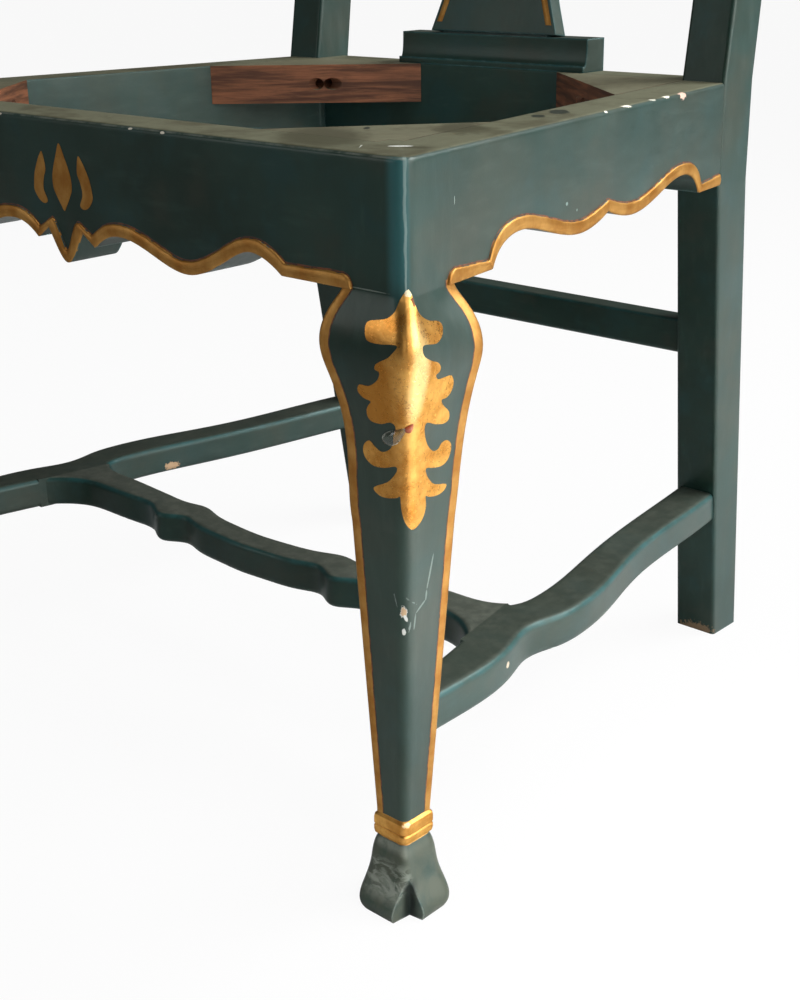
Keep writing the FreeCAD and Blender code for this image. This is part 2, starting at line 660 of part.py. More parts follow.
def cross_stretcher():
    """Serpentine cross stretcher between the side stretchers."""
    back, back_end = cross_points(CROSS_BACK)
    front, front_end = cross_points(CROSS_FRONT)
    edges = [smooth(back).toShape(), smooth(front).toShape()]
    for side in (1, -1):
        corners = [back[-1], back_end, front_end, front[-1]]
        corners = [Vector(side * p.x, p.y, p.z) for p in corners]
        for start, end in zip(corners, corners[1:]):
            edges.append(Part.makeLine(start, end))
    body = Part.Face(wire_of(edges)).extrude(UP * STRETCHER_HEIGHT)
    body = eased(body, STRETCHER_EDGE_SOFT, lambda point: abs(point.x) > front[-1].x)
    body = body.cut(both_sides(side_stretcher_blank()))
    middle = min(body.Solids, key=lambda piece: abs(piece.CenterOfMass.x))
    return middle.fuse(both_sides(cross_tenon())).removeSplitter()


def rear_stretcher():
    """Plain bar between the raked rear legs."""
    low = REAR_STRETCHER_TOP - REAR_STRETCHER_HEIGHT
    y = SEAT_RUN + post_rake(low + REAR_STRETCHER_HEIGHT / 2) + REAR_STRETCHER_SETBACK
    bar = box(-HALF_REAR, HALF_REAR, y, y + REAR_STRETCHER_THICK, low, REAR_STRETCHER_TOP)
    bar = eased(bar, REAR_STRETCHER_SOFT, lambda point: abs(point.x) > HALF_REAR - SAME_PLACE)
    bar = bar.cut(both_sides(rear_post_body()))
    middle = min(bar.Solids, key=lambda piece: abs(piece.CenterOfMass.x))
    return middle.fuse(both_sides(rear_stretcher_tenon())).removeSplitter()


def block_plan(place):
    """Corners of a right-hand corner block, at its lower face."""
    z = SEAT_HEIGHT - BLOCK_HEIGHT
    inner = RAIL_SKEW_THICK + BLOCK_CLEAR
    if place == "front":
        front = RAIL_THICK / SIDE_DIR.y + BLOCK_CLEAR
        post_in = FRONT_POST + BLOCK_CLEAR
        pairs = ((post_in, front), (inner + FRONT_BLOCK_LEG, front), (inner, front + FRONT_BLOCK_LEG),
                 (inner, post_in), (post_in, post_in))
    else:
        rear = (SEAT_RUN + REAR_RAIL_SETBACK) / SIDE_DIR.y - BLOCK_CLEAR
        pairs = ((inner, rear), (inner, rear - REAR_BLOCK_LEG), (inner + REAR_BLOCK_LEG, rear))
    return [skew(a, b, z) for a, b in pairs]


def screw_path(place, axis):
    """Start on the block's rail side and direction into the rail, of one screw."""
    z = SEAT_HEIGHT - SCREW_DROP
    inner = RAIL_SKEW_THICK + BLOCK_CLEAR
    front = RAIL_THICK / SIDE_DIR.y + BLOCK_CLEAR
    rear = (SEAT_RUN + REAR_RAIL_SETBACK) / SIDE_DIR.y - BLOCK_CLEAR
    leg = FRONT_BLOCK_LEG if place == "front" else REAR_BLOCK_LEG
    if axis == "y":
        b = front + leg * SCREW_PLACE if place == "front" else rear - leg * SCREW_PLACE
        return skew(inner, b, z), RIGHT
    if place == "front":
        return skew(inner + leg * SCREW_PLACE, front, z), REAR * -1
    return skew(inner + leg * SCREW_PLACE, rear, z), REAR


def screw(place, axis, gap=0.0):
    """One block screw; with a gap it is the hole for it, open at the head end."""
    point, into = screw_path(place, axis)
    seat = point - into * SCREW_SEAT
    shank = Part.makeCylinder(SCREW_RADIUS + gap, SCREW_SEAT + SCREW_BITE + gap, seat, into)
    head_room = SCREW_HEAD_HEIGHT if gap == 0 else FRONT_BLOCK_LEG
    head = Part.makeCylinder(SCREW_HEAD_RADIUS + gap, head_room, seat, into * -1)
    return shank.fuse(head).removeSplitter()


def screw_holes(place, axis):
    """Holes of one kind of screw on both sides of the chair."""
    return both_sides(screw(place, axis, BLOCK_CLEAR))


def corner_block(place):
    """Right-hand corner block with the pockets for its two screws."""
    block = prism(block_plan(place), UP * BLOCK_HEIGHT)
    return block.cut([screw(place, "x", BLOCK_CLEAR), screw(place, "y", BLOCK_CLEAR)])


def crest_rail():
    """Serpentine crest on the tops of the stiles."""
    lower = [on_back(x, STILE_LENGTH + CREST_END_LOW + rise) for rise, x in CREST_LOWER]
    stile = HALF_REAR - STILE_TOP_IN - STILE_TOP_WIDTH
    seat = on_back(stile, STILE_LENGTH)
    seat_end = on_back(CREST_HALF_WIDTH, STILE_LENGTH + CREST_END_LOW)
    half_low = [seat] + lower
    middle_low = on_back(0, STILE_LENGTH + CREST_MIDDLE_LOW)
    upper = [on_back(x, STILE_LENGTH + rise) for rise, x in CREST_UPPER]
    end_high = on_back(CREST_HALF_WIDTH, STILE_LENGTH + CREST_END_HIGH)
    half_high = [end_high] + upper
    middle_high = on_back(0, STILE_LENGTH + CREST_MIDDLE_HIGH)
    edges = [
        smooth(half_low + [middle_low] + flipped(half_low)).toShape(),
        smooth(half_high + [middle_high] + flipped(half_high)).toShape(),
    ]
    for side in (1, -1):
        corners = [seat, seat_end, end_high]
        corners = [Vector(side * p.x, p.y, p.z) for p in corners]
        edges.append(Part.makeLine(corners[0], corners[1]))
        edges.append(Part.makeLine(corners[1], corners[2]))
    rail = Part.Face(wire_of(edges)).extrude(BACK_IN * CREST_THICK)
    cuts = both_sides(stile_tenon(GLUE_GAP)) + [splat_tenon("head", GLUE_GAP)]
    return rail.cut(cuts)


def splat_foot():
    """Distance up the back of the top of the shoe, at the splat."""
    return (SHOE_HEIGHT + (SPLAT_SETBACK + SPLAT_THICK) * math.sin(LEAN)) / math.cos(LEAN)


def splat_head():
    """Distance up the back of the crest rail's lower edge, at the splat."""
    return STILE_LENGTH + CREST_MIDDLE_LOW


def splat_tenon(end, gap=0.0):
    """Tenon of the splat in the crest rail or in the shoe."""
    half = SPLAT_HEAD_HALF if end == "head" else SPLAT_FOOT_HALF
    half = half - SPLAT_TENON_LENGTH + gap
    depth = SPLAT_SETBACK + SPLAT_THICK / 2
    near = depth - SPLAT_TENON_THICK / 2 - gap
    far = depth + SPLAT_TENON_THICK / 2 + gap
    start = splat_head() - SPLAT_TENON_LENGTH if end == "head" else splat_foot() + SPLAT_TENON_LENGTH
    reach = 2 * SPLAT_TENON_LENGTH + SPLAT_TENON_LENGTH * (end == "head") + gap
    travel = BACK_UP * (reach if end == "head" else -reach)
    corners = ((-half, near), (half, near), (half, far), (-half, far))
    base = [on_back(x, start, depth) for x, depth in corners]
    return prism(base, travel)


def splat():
    """Flat vase-shaped splat between the shoe and the crest rail."""
    foot = splat_foot()
    tall = splat_head() - foot
    pairs = ((SPLAT_FOOT_HALF, 0.0),) + SPLAT_PROFILE + ((SPLAT_HEAD_HALF, 1.0),)
    side = [on_back(x, foot + tall * share, SPLAT_SETBACK) for x, share in pairs]
    high = on_back(SPLAT_HEAD_HALF, splat_head() + 2 * SPLAT_TENON_LENGTH, SPLAT_SETBACK)
    other = flipped(side)
    high_other = Vector(-high.x, high.y, high.z)
    edges = [
        smooth(side).toShape(), Part.makeLine(side[-1], high), Part.makeLine(high, high_other),
        Part.makeLine(high_other, other[0]), smooth(other).toShape(), Part.makeLine(other[-1], side[0]),
    ]
    board = Part.Face(wire_of(edges)).extrude(BACK_IN * SPLAT_THICK)
    board = board.cut([crest_rail(), shoe()])
    board = max(board.Solids, key=lambda piece: piece.Volume)
    return board.fuse([splat_tenon("head"), splat_tenon("foot")]).removeSplitter()


def shoe():
    """Coved shoe on the rear rail that holds the foot of the splat."""
    front = SEAT_RUN + REAR_RAIL_SETBACK
    back = front + REAR_RAIL_THICK
    low = SEAT_HEIGHT
    high = SEAT_HEIGHT + SHOE_HEIGHT
    profile = [
        Part.makeLine(Vector(SHOE_HALF_WIDTH, front, low), Vector(SHOE_HALF_WIDTH, back, low)),
        Part.makeLine(Vector(SHOE_HALF_WIDTH, back, low), Vector(SHOE_HALF_WIDTH, back, high)),
        Part.makeLine(Vector(SHOE_HALF_WIDTH, back, high), Vector(SHOE_HALF_WIDTH, front + SHOE_COVE, high)),
    ]
    cove = Part.BezierCurve()
    cove.setPoles([Vector(SHOE_HALF_WIDTH, front + SHOE_COVE, high), Vector(SHOE_HALF_WIDTH, front + SHOE_COVE, low),
                   Vector(SHOE_HALF_WIDTH, front, low + SHOE_COVE)])
    profile.append(cove.toShape())
    ledge = Vector(SHOE_HALF_WIDTH, front, low)
    profile.append(Part.makeLine(ledge + UP * SHOE_COVE, ledge))
    body = Part.Face(wire_of(profile)).extrude(RIGHT * (-2 * SHOE_HALF_WIDTH))
    return body.cut(splat_tenon("foot", GLUE_GAP))


def build():
    """All pieces of the chair by name, before the origin is set."""
    pieces = {
        "front_rail": front_rail(),
        "rear_rail": rear_rail(),
        "cross_stretcher": cross_stretcher(),
        "rear_stretcher": rear_stretcher(),
        "crest_rail": crest_rail(),
        "back_splat": splat(),
        "splat_shoe": shoe(),
    }
    right_hand = {
        "front_leg": front_leg(),
        "rear_post": rear_post(),
        "side_rail": side_rail(),
        "side_stretcher": side_stretcher(),
        "front_corner_block": corner_block("front"),
        "rear_corner_block": corner_block("rear"),
    }
    for name, shape in right_hand.items():
        pieces[name + "_right"] = shape
        pieces[name + "_left"] = mirrored(shape)
    screws = []
    for place in ("front", "rear"):
        for axis in ("x", "y"):
            screws.extend(both_sides(screw(place, axis)))
    pieces["corner_block_screws"] = Part.makeCompound(screws)
    return pieces


def export(pieces):
    """Set the origin under the middle of the chair and write one file per piece."""
    whole = Part.makeCompound(list(pieces.values())).optimalBoundingBox(False, False)
    shift = Vector(0, -(whole.YMin + whole.YMax) / 2, 0)
    for name, shape in pieces.items():
        placed = shape.translated(shift)
        placed.exportStep("parts/" + name + ".step")
        print(name, placed.isValid(), len(placed.Solids), round(placed.Volume))
    print("size", round(whole.XLength, 1), round(whole.YLength, 1), round(whole.ZLength, 1), "shift", shift.y)


os.makedirs("parts", exist_ok=True)
export(build())
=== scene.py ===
"""Looks of a high-back chair in dark teal lacquer with gilt edges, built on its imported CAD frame."""

from __future__ import annotations

import logging
import math
from dataclasses import dataclass
from enum import Enum
from typing import Any, Callable, Iterable, Sequence

import bmesh
import bpy
from mathutils import Matrix, Vector, noise
from mathutils.bvhtree import BVHTree
from mathutils.geometry import delaunay_2d_cdt


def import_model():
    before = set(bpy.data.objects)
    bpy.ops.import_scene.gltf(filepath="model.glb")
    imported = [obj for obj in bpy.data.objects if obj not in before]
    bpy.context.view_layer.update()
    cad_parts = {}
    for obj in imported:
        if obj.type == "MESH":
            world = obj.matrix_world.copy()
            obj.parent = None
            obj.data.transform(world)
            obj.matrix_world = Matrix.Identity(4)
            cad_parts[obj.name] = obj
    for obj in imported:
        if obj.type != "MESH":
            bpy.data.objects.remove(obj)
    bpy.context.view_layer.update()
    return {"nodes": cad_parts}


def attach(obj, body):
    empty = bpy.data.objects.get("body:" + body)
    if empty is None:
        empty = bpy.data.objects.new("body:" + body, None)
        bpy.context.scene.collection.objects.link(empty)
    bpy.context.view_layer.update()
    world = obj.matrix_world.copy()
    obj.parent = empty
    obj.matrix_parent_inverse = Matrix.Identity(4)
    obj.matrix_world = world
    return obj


LOG = logging.getLogger("chair")

Color = tuple[float, float, float]
Triple = tuple[float, float, float]
Pair = tuple[float, float]
Rows = list[list[Vector]]
Settings = dict[str, Any]
Inputs = dict[Any, Any]
Span = Callable[[float], Pair | None]
Nodes = dict[str, bpy.types.Object]

# Sizes of the CAD part, in metres
SEAT_TOP = 0.440
RAIL_DEPTH = 0.069
UNDERSIDE = SEAT_TOP - RAIL_DEPTH
HALF_FRONT = 0.2815
HALF_REAR = 0.216
SEAT_RUN = 0.396
SIDE_RUN = math.hypot(HALF_FRONT - HALF_REAR, SEAT_RUN)
FRONT_Y = -0.259186
BEAD_PROUD = 0.001
FRONT_POST = 0.045
ANKLE = 0.056
RING = 0.015
CROSS_INSET = 0.0395
BACK_LEAN = math.radians(8.5)

# Overlap that is too small to see, and the waver of a gilder's hand, in metres
HAIR = 2e-5
WAVER = 0.0004

# Level of the white surroundings in reflections and through glass
MIRRORED = 0.04

# Colours that more than one finish uses
WHITE = (1.0, 1.0, 1.0)
SEAT_DUST = (0.135, 0.133, 0.084)
SEAT_GRIME = (0.066, 0.058, 0.032)
SEAT_SPECK = (0.020, 0.022, 0.014)
SEAT_SCRATCH = (0.36, 0.35, 0.27)
UMBER = (0.056, 0.052, 0.029)
BLACK = (0.016, 0.019, 0.013)
CHALK = (0.72, 0.73, 0.70)
GREY = (0.17, 0.21, 0.195)
TEAL_GREY = (0.20, 0.27, 0.25)
TAN = (0.62, 0.43, 0.26)


class Axis(Enum):
    """Way that the brush went on a piece, as the scale of its marks along X, Y and Z."""

    X = (0.22, 1.012, 1.012)
    Y = (1.012, 0.22, 1.012)
    Z = (1.012, 1.012, 0.22)


class Side(Enum):
    """Side of the chair, as the sign of X."""

    RIGHT = 1
    LEFT = -1

    @property
    def word(self) -> str:
        """Return the side as the names of pieces have it."""
        return self.name.lower()


class Face(Enum):
    """Outer face of a front leg, as the names of pieces have it."""

    FRONT = "front"
    SIDE = "side"


class Edge(Enum):
    """Edge of a flat face, as the way from it into the face."""

    LOW = 1
    HIGH = -1


# Shader graph


class Sock:
    """A shader socket that takes part in arithmetic and feeds the nodes that are used most."""

    def __init__(self, graph: Graph, socket: bpy.types.NodeSocket) -> None:
        """Keep the socket and the graph that it is in."""
        self.graph = graph
        self.socket = socket

    def _math(self, operation: str, first: Any, second: Any = 0.0) -> Sock:
        """Return the result of one math node."""
        return self.graph.node("ShaderNodeMath", {"operation": operation}, {0: first, 1: second})

    def _vector(self, operation: str, inputs: Inputs, out: int | str = 0) -> Sock:
        """Return the result of one vector math node."""
        return self.graph.node("ShaderNodeVectorMath", {"operation": operation}, inputs, out)

    def __add__(self, other: Any) -> Sock:
        """Return self + other."""
        return self._math("ADD", self, other)

    def __radd__(self, other: Any) -> Sock:
        """Return other + self."""
        return self._math("ADD", other, self)

    def __sub__(self, other: Any) -> Sock:
        """Return self - other."""
        return self._math("SUBTRACT", self, other)

    def __rsub__(self, other: Any) -> Sock:
        """Return other - self."""
        return self._math("SUBTRACT", other, self)

    def __mul__(self, other: Any) -> Sock:
        """Return self * other."""
        return self._math("MULTIPLY", self, other)

    def __rmul__(self, other: Any) -> Sock:
        """Return other * self."""
        return self._math("MULTIPLY", other, self)

    def __or__(self, other: Any) -> Sock:
        """Return the larger of self and other, which joins two masks."""
        return self._math("MAXIMUM", self, other)

    def __ror__(self, other: Any) -> Sock:
        """Return the larger of other and self."""
        return self._math("MAXIMUM", other, self)

    def __abs__(self) -> Sock:
        """Return the value without its sign."""
        return self._math("ABSOLUTE", self)

    def step(self, low: float, high: float) -> Sock:
        """Return a smooth step.

        Args:
            low: Value where the step is 0.
            high: Value where the step is 1, above or below low.

        Returns:
            The step, from 0 to 1.
        """
        if low > high:
            return 1.0 - self.step(high, low)
        inputs = {0: self, 1: low, 2: high, 3: 0.0, 4: 1.0}
        return self.graph.node("ShaderNodeMapRange", {"interpolation_type": "SMOOTHSTEP"}, inputs)

    def mix(self, first: Any, second: Any) -> Sock:
        """Return a blend of two colours by this value."""
        return self.graph.node("ShaderNodeMix", {"data_type": "RGBA"}, {0: self, 6: first, 7: second}, 2)

    def layer(self, under: Sock, over: Sock) -> Sock:
        """Return a blend of two shaders by this value."""
        return self.graph.node("ShaderNodeMixShader", None, {0: self, 1: under, 2: over})

    def bump(self, depth: float, normal: Sock | None = None) -> Sock:
        """Return the normal of a surface that has this value as its height.

        Args:
            depth: Height that the value 1 stands for, in metres.
            normal: Normal of the surface without the bumps, if not its own.

        Returns:
            The disturbed normal.
        """
        inputs: Inputs = {"Height": self, "Distance": depth, "Strength": 1.0}
        if normal is not None:
            inputs["Normal"] = normal
        return self.graph.node("ShaderNodeBump", None, inputs)

    def part(self, name: str) -> Sock:
        """Return one part of this vector, named X, Y or Z."""
        return self.graph.node("ShaderNodeSeparateXYZ", None, {0: self}, name)

    @property
    def x(self) -> Sock:
        """Return the X part of this vector."""
        return self.part("X")

    @property
    def y(self) -> Sock:
        """Return the Y part of this vector."""
        return self.part("Y")

    @property
    def z(self) -> Sock:
        """Return the Z part of this vector."""
        return self.part("Z")

    def scaled(self, scale: Triple, shift: Triple = (0.0, 0.0, 0.0)) -> Sock:
        """Return this vector times scale plus shift."""
        return self._vector("MULTIPLY_ADD", {0: self, 1: scale, 2: shift})

    def dot(self, other: Any) -> Sock:
        """Return the dot product with another vector."""
        return self._vector("DOT_PRODUCT", {0: self, 1: other}, "Value")

    def noise(self, scale: float, detail: float = 3.0, rough: float = 0.55, warp: float = 0.0) -> Sock:
        """Return noise at this place.

        Args:
            scale: How many features there are in a metre.
            detail: How many finer layers are added.
            rough: How strong the finer layers are.
            warp: How far the features are pulled about.

        Returns:
            The noise, from 0 to 1.
        """
        inputs = {"Vector": self, "Scale": scale, "Detail": detail, "Roughness": rough, "Distortion": warp}
        return self.graph.node("ShaderNodeTexNoise", None, inputs, "Fac")

    def within(self, spot: Spot) -> Sock:
        """Return how far this place is from the middle of a spot.

        Args:
            spot: The spot.

        Returns:
            The distance in units of the spot's half sizes, so 1 at its edge.
        """
        inputs = {"Vector": self, "Location": spot.place, "Rotation": spot.turn, "Scale": spot.size}
        local = self.graph.node("ShaderNodeMapping", {"vector_type": "TEXTURE"}, inputs)
        return self._vector("LENGTH", {0: local}, "Value")


class Graph:
    """The node tree of a material or a world, built one node at a time."""

    def __init__(self, owner: bpy.types.Material | bpy.types.World) -> None:
        """Start with an empty tree.

        Args:
            owner: Material or world that has the tree.
        """
        owner.use_nodes = True
        self.owner = owner
        self.tree = owner.node_tree
        self.tree.nodes.clear()

    def _add(self, kind: str, settings: Settings | None, inputs: Inputs | None) -> bpy.types.Node:
        """Add one node.

        Args:
            kind: Type name of the node.
            settings: Properties of the node, set first.
            inputs: Values or sockets by input name or number.

        Returns:
            The new node.
        """
        made = self.tree.nodes.new(kind)
        for key, value in (settings or {}).items():
            setattr(made, key, value)
        for key, value in (inputs or {}).items():
            target = made.inputs[key]
            if isinstance(value, Sock):
                self.tree.links.new(value.socket, target)
            elif isinstance(value, tuple) and target.type == "RGBA":
                target.default_value = (*value, 1.0)
            else:
                target.default_value = value
        return made

    def node(self, kind: str, settings: Settings | None = None, inputs: Inputs | None = None,
             out: int | str = 0) -> Sock:
        """Add one node and return its output called out."""
        return Sock(self, self._add(kind, settings, inputs).outputs[out])

    def close(self, surface: Sock, kind: str = "ShaderNodeOutputMaterial") -> None:
        """Add the output node, which takes the finished shader."""
        self._add(kind, None, {"Surface": surface})

    def principled(self, inputs: Inputs) -> Sock:
        """Return a principled shader."""
        return self.node("ShaderNodeBsdfPrincipled", None, inputs)

    def place(self) -> Sock:
        """Return the position in the chair's frame, in metres."""
        return self.node("ShaderNodeTexCoord", out="Object")

    def normal(self) -> Sock:
        """Return the normal of the surface."""
        return self.node("ShaderNodeNewGeometry", out="Normal")

    def blend(self, factor: Any, first: Sock, second: Sock) -> Sock:
        """Return a blend of two vectors."""
        return self.node("ShaderNodeMix", {"data_type": "VECTOR"}, {0: factor, 4: first, 5: second}, 1)

    def seen_white(self) -> Sock:
        """Return how white the surroundings are to a ray.

        Returns:
            1 for the camera, and a lower level for reflections and glass.
        """
        camera, glossy, through = (self.node("ShaderNodeLightPath", out=f"Is {ray} Ray")
                                   for ray in ("Camera", "Glossy", "Transmission"))
        return camera | ((glossy | through) * MIRRORED)


# Finishes


@dataclass(frozen=True)
class Spot:
    """A mark on the surface.

    Args:
        place: Middle of the mark, in metres.
        size: Half sizes along its own axes, in metres.
        color: What shows in it.
        turn: Angles of its axes about X, Y and Z.
        ragged: How uneven its edge is.
        soft: Share of its half size that its edge takes.
    """

    place: Triple
    size: Triple
    color: Color = (0.66, 0.62, 0.52)
    turn: Triple = (0.0, 0.0, 0.0)
    ragged: float = 0.9
    soft: float = 0.25

    @classmethod
    def line(cls, start: Triple, end: Triple, width: float, color: Color, ragged: float = 0.5) -> Spot:
        """Return a thin mark.

        Args:
            start: One end, in metres.
            end: Other end, in metres.
            width: Half of its width, in metres.
            color: What shows in it.
            ragged: How uneven its edge is.

        Returns:
            The mark.
        """
        along = Vector(end) - Vector(start)
        turn = along.to_track_quat("Z", "Y").to_euler()
        middle = (Vector(start) + Vector(end)) / 2
        return cls(tuple(middle), (width, width, along.length / 2), color, tuple(turn), ragged)


# Stains on the seat bearing at the right front corner
SEAT_MARKS = (
    Spot((0.1930, -0.2280, SEAT_TOP), (0.0520, 0.0300, 0.0030), UMBER, (0.0, 0.0, -0.66), 0.28, 0.5),
    Spot((0.2295, -0.1575, SEAT_TOP), (0.0320, 0.0190, 0.0030), UMBER, (0.0, 0.0, -0.85), 0.55, 0.5),
    Spot((0.2630, -0.2280, SEAT_TOP), (0.0120, 0.0080, 0.0030), UMBER, (0.0, 0.0, 0.60), 0.40, 0.8),
    Spot((0.2255, -0.0640, SEAT_TOP), (0.0125, 0.0065, 0.0030), BLACK, (0.0, 0.0, -0.85), 0.50),
    Spot((0.2293, -0.0885, SEAT_TOP), (0.0080, 0.0045, 0.0030), BLACK, (0.0, 0.0, -0.85), 0.50),
    Spot((0.1870, -0.1869, SEAT_TOP), (0.0060, 0.0022, 0.0030), BLACK, (0.0, 0.0, -0.85), 0.40),
)


@dataclass(frozen=True)
class Joint:
    """A joint that the paint runs over without a line.

    Args:
        place: A point in the joint's plane.
        normal: Direction across the joint.
    """

    place: Vector
    normal: Vector


def dimmed(color: Color, share: float) -> Color:
    """Return a share of a colour."""
    return tuple(part * share for part in color)


def marked(place: Sock, color: Sock, stains: Sequence[Spot]) -> Sock:
    """Return a colour with stains on it.

    Args:
        place: Position in the chair's frame.
        color: Colour without the stains.
        stains: The stains.

    Returns:
        The stained colour.
    """
    uneven = place.noise(110.0, 6.0, 0.75) - 0.5
    for stain in stains:
        far = place.within(stain) + uneven * (2.4 * stain.ragged)
        color = (far.step(1.0, 1.0 - stain.soft) * 0.95).mix(color, stain.color)
    return color


def seat_wear(place: Sock) -> Sock:
    """Return the colour of a surface that the seat has rubbed.

    Args:
        place: Position in the chair's frame.

    Returns:
        Dusty colour with soft brown patches, dark specks and hair scratches.
    """
    grime = place.noise(120.0, 5.0, 0.7)
    patch = place.noise(19.0, 4.0, 0.6, 0.5) * 0.8 + grime * 0.2
    tint = (grime.step(0.30, 0.70) * 0.6).mix(SEAT_DUST, dimmed(SEAT_DUST, 0.74))
    tint = (patch.step(0.47, 0.62) * 0.75).mix(tint, SEAT_GRIME)
    tint = (place.noise(210.0, 3.0, 0.6).step(0.70, 0.74) * 0.7).mix(tint, SEAT_SPECK)
    hair = abs(place.scaled((1.0, 1.0, 0.0)).noise(34.0, 1.0, 0.5, 1.4) - 0.5)
    return (hair.step(0.0016, 0.0004) * patch.step(0.52, 0.44) * 0.3).mix(tint, SEAT_SCRATCH)


class Finish:
    """What a surface looks like."""

    def shader(self, graph: Graph) -> Sock:
        """Return the finish as a shader."""
        raise NotImplementedError

    def build(self, name: str) -> bpy.types.Material:
        """Return the finish as a new material.

        Args:
            name: Name of the material.

        Returns:
            The material.
        """
        graph = Graph(bpy.data.materials.new(name))
        graph.close(self.shader(graph))
        return graph.owner


@dataclass(frozen=True)
class Gold(Finish):
    """Worn water gilding over red bole.

    Args:
        wear: How much bole shows.
        pits: Where the gilding is pitted.
        chips: Spots of lost gilding.
        left_shade: Where a darker tone is painted on the gilding as shade.
        painted_highlight: Where a pale highlight is painted on the gilding.
    """

    wear: float = 0.5
    pits: Spot | None = None
    chips: tuple[Spot, ...] = ()
    left_shade: Spot | None = None
    painted_highlight: Spot | None = None
    bright: Color = (0.72, 0.39, 0.105)
    deep: Color = (0.42, 0.175, 0.032)
    bole: Color = (0.130, 0.030, 0.012)
    tint: Color = (1.0, 0.80, 0.45)
    rough: float = 0.34
    metal: float = 0.90
    grit: float = 0.00014

    def shader(self, graph: Graph) -> Sock:
        """Return the gilding as a shader.

        Args:
            graph: Graph that the nodes go in.

        Returns:
            The shader.
        """
        place = graph.place()
        broad = place.noise(70.0, 4.0)
        fine = place.noise(520.0, 3.0, 0.6)
        streak = place.scaled((1.0, 1.0, 0.16)).noise(800.0, 2.0)
        color = broad.step(0.30, 0.72).mix(self.deep, self.bright)
        color = (streak.step(0.45, 0.85) * 0.35).mix(color, self.deep)
        # Painted shade: a darker tone on part of the gilding
        if self.left_shade is not None:
            color = (place.within(self.left_shade).step(1.0, 0.45) * 0.8).mix(color, self.left_shade.color)
        # Painted highlight: a pale spot on the gilding
        if self.painted_highlight is not None:
            color = (place.within(self.painted_highlight).step(1.0, 0.3) * 0.85).mix(color, self.painted_highlight.color)
        worn = place.noise(190.0, 5.0, 0.7) * 0.6 + fine * 0.4
        if self.pits is not None:
            near = place.within(self.pits).step(1.0, 0.4)
            worn = worn + near * place.noise(900.0, 2.0).step(0.50, 0.62) * 0.24
        rubbed = worn.step(0.62, 0.72) * self.wear
        color = rubbed.mix(color, self.bole)
        for chip in self.chips:
            lost = (place.within(chip) + (fine - 0.5) * 1.4).step(1.0, 0.8)
            color = lost.mix(color, chip.color)
            rubbed = rubbed | lost
        rough = fine * 0.18 + broad * 0.10 + rubbed * 0.25 + (self.rough - 0.14)
        height = fine * 0.6 + streak * 0.4 - rubbed * 0.9
        return graph.principled({"Base Color": color, "Metallic": self.metal - rubbed * 0.6,
                                 "Roughness": rough, "Specular Tint": self.tint,
                                 "Normal": height.bump(self.grit)})


@dataclass(frozen=True)
class Bole(Finish):
    """Red clay that shows along the edges of the gilding."""

    dark: Color = (0.055, 0.022, 0.012)
    red: Color = (0.190, 0.062, 0.022)

    def shader(self, graph: Graph) -> Sock:
        """Return the clay as a shader.

        Args:
            graph: Graph that the nodes go in.

        Returns:
            The shader.
        """
        patch = graph.place().noise(180.0, 4.0, 0.65)
        return graph.principled({"Base Color": patch.step(0.4, 0.65).mix(self.dark, self.red),
                                 "Roughness": patch * 0.2 + 0.5, "Normal": patch.bump(0.0001)})


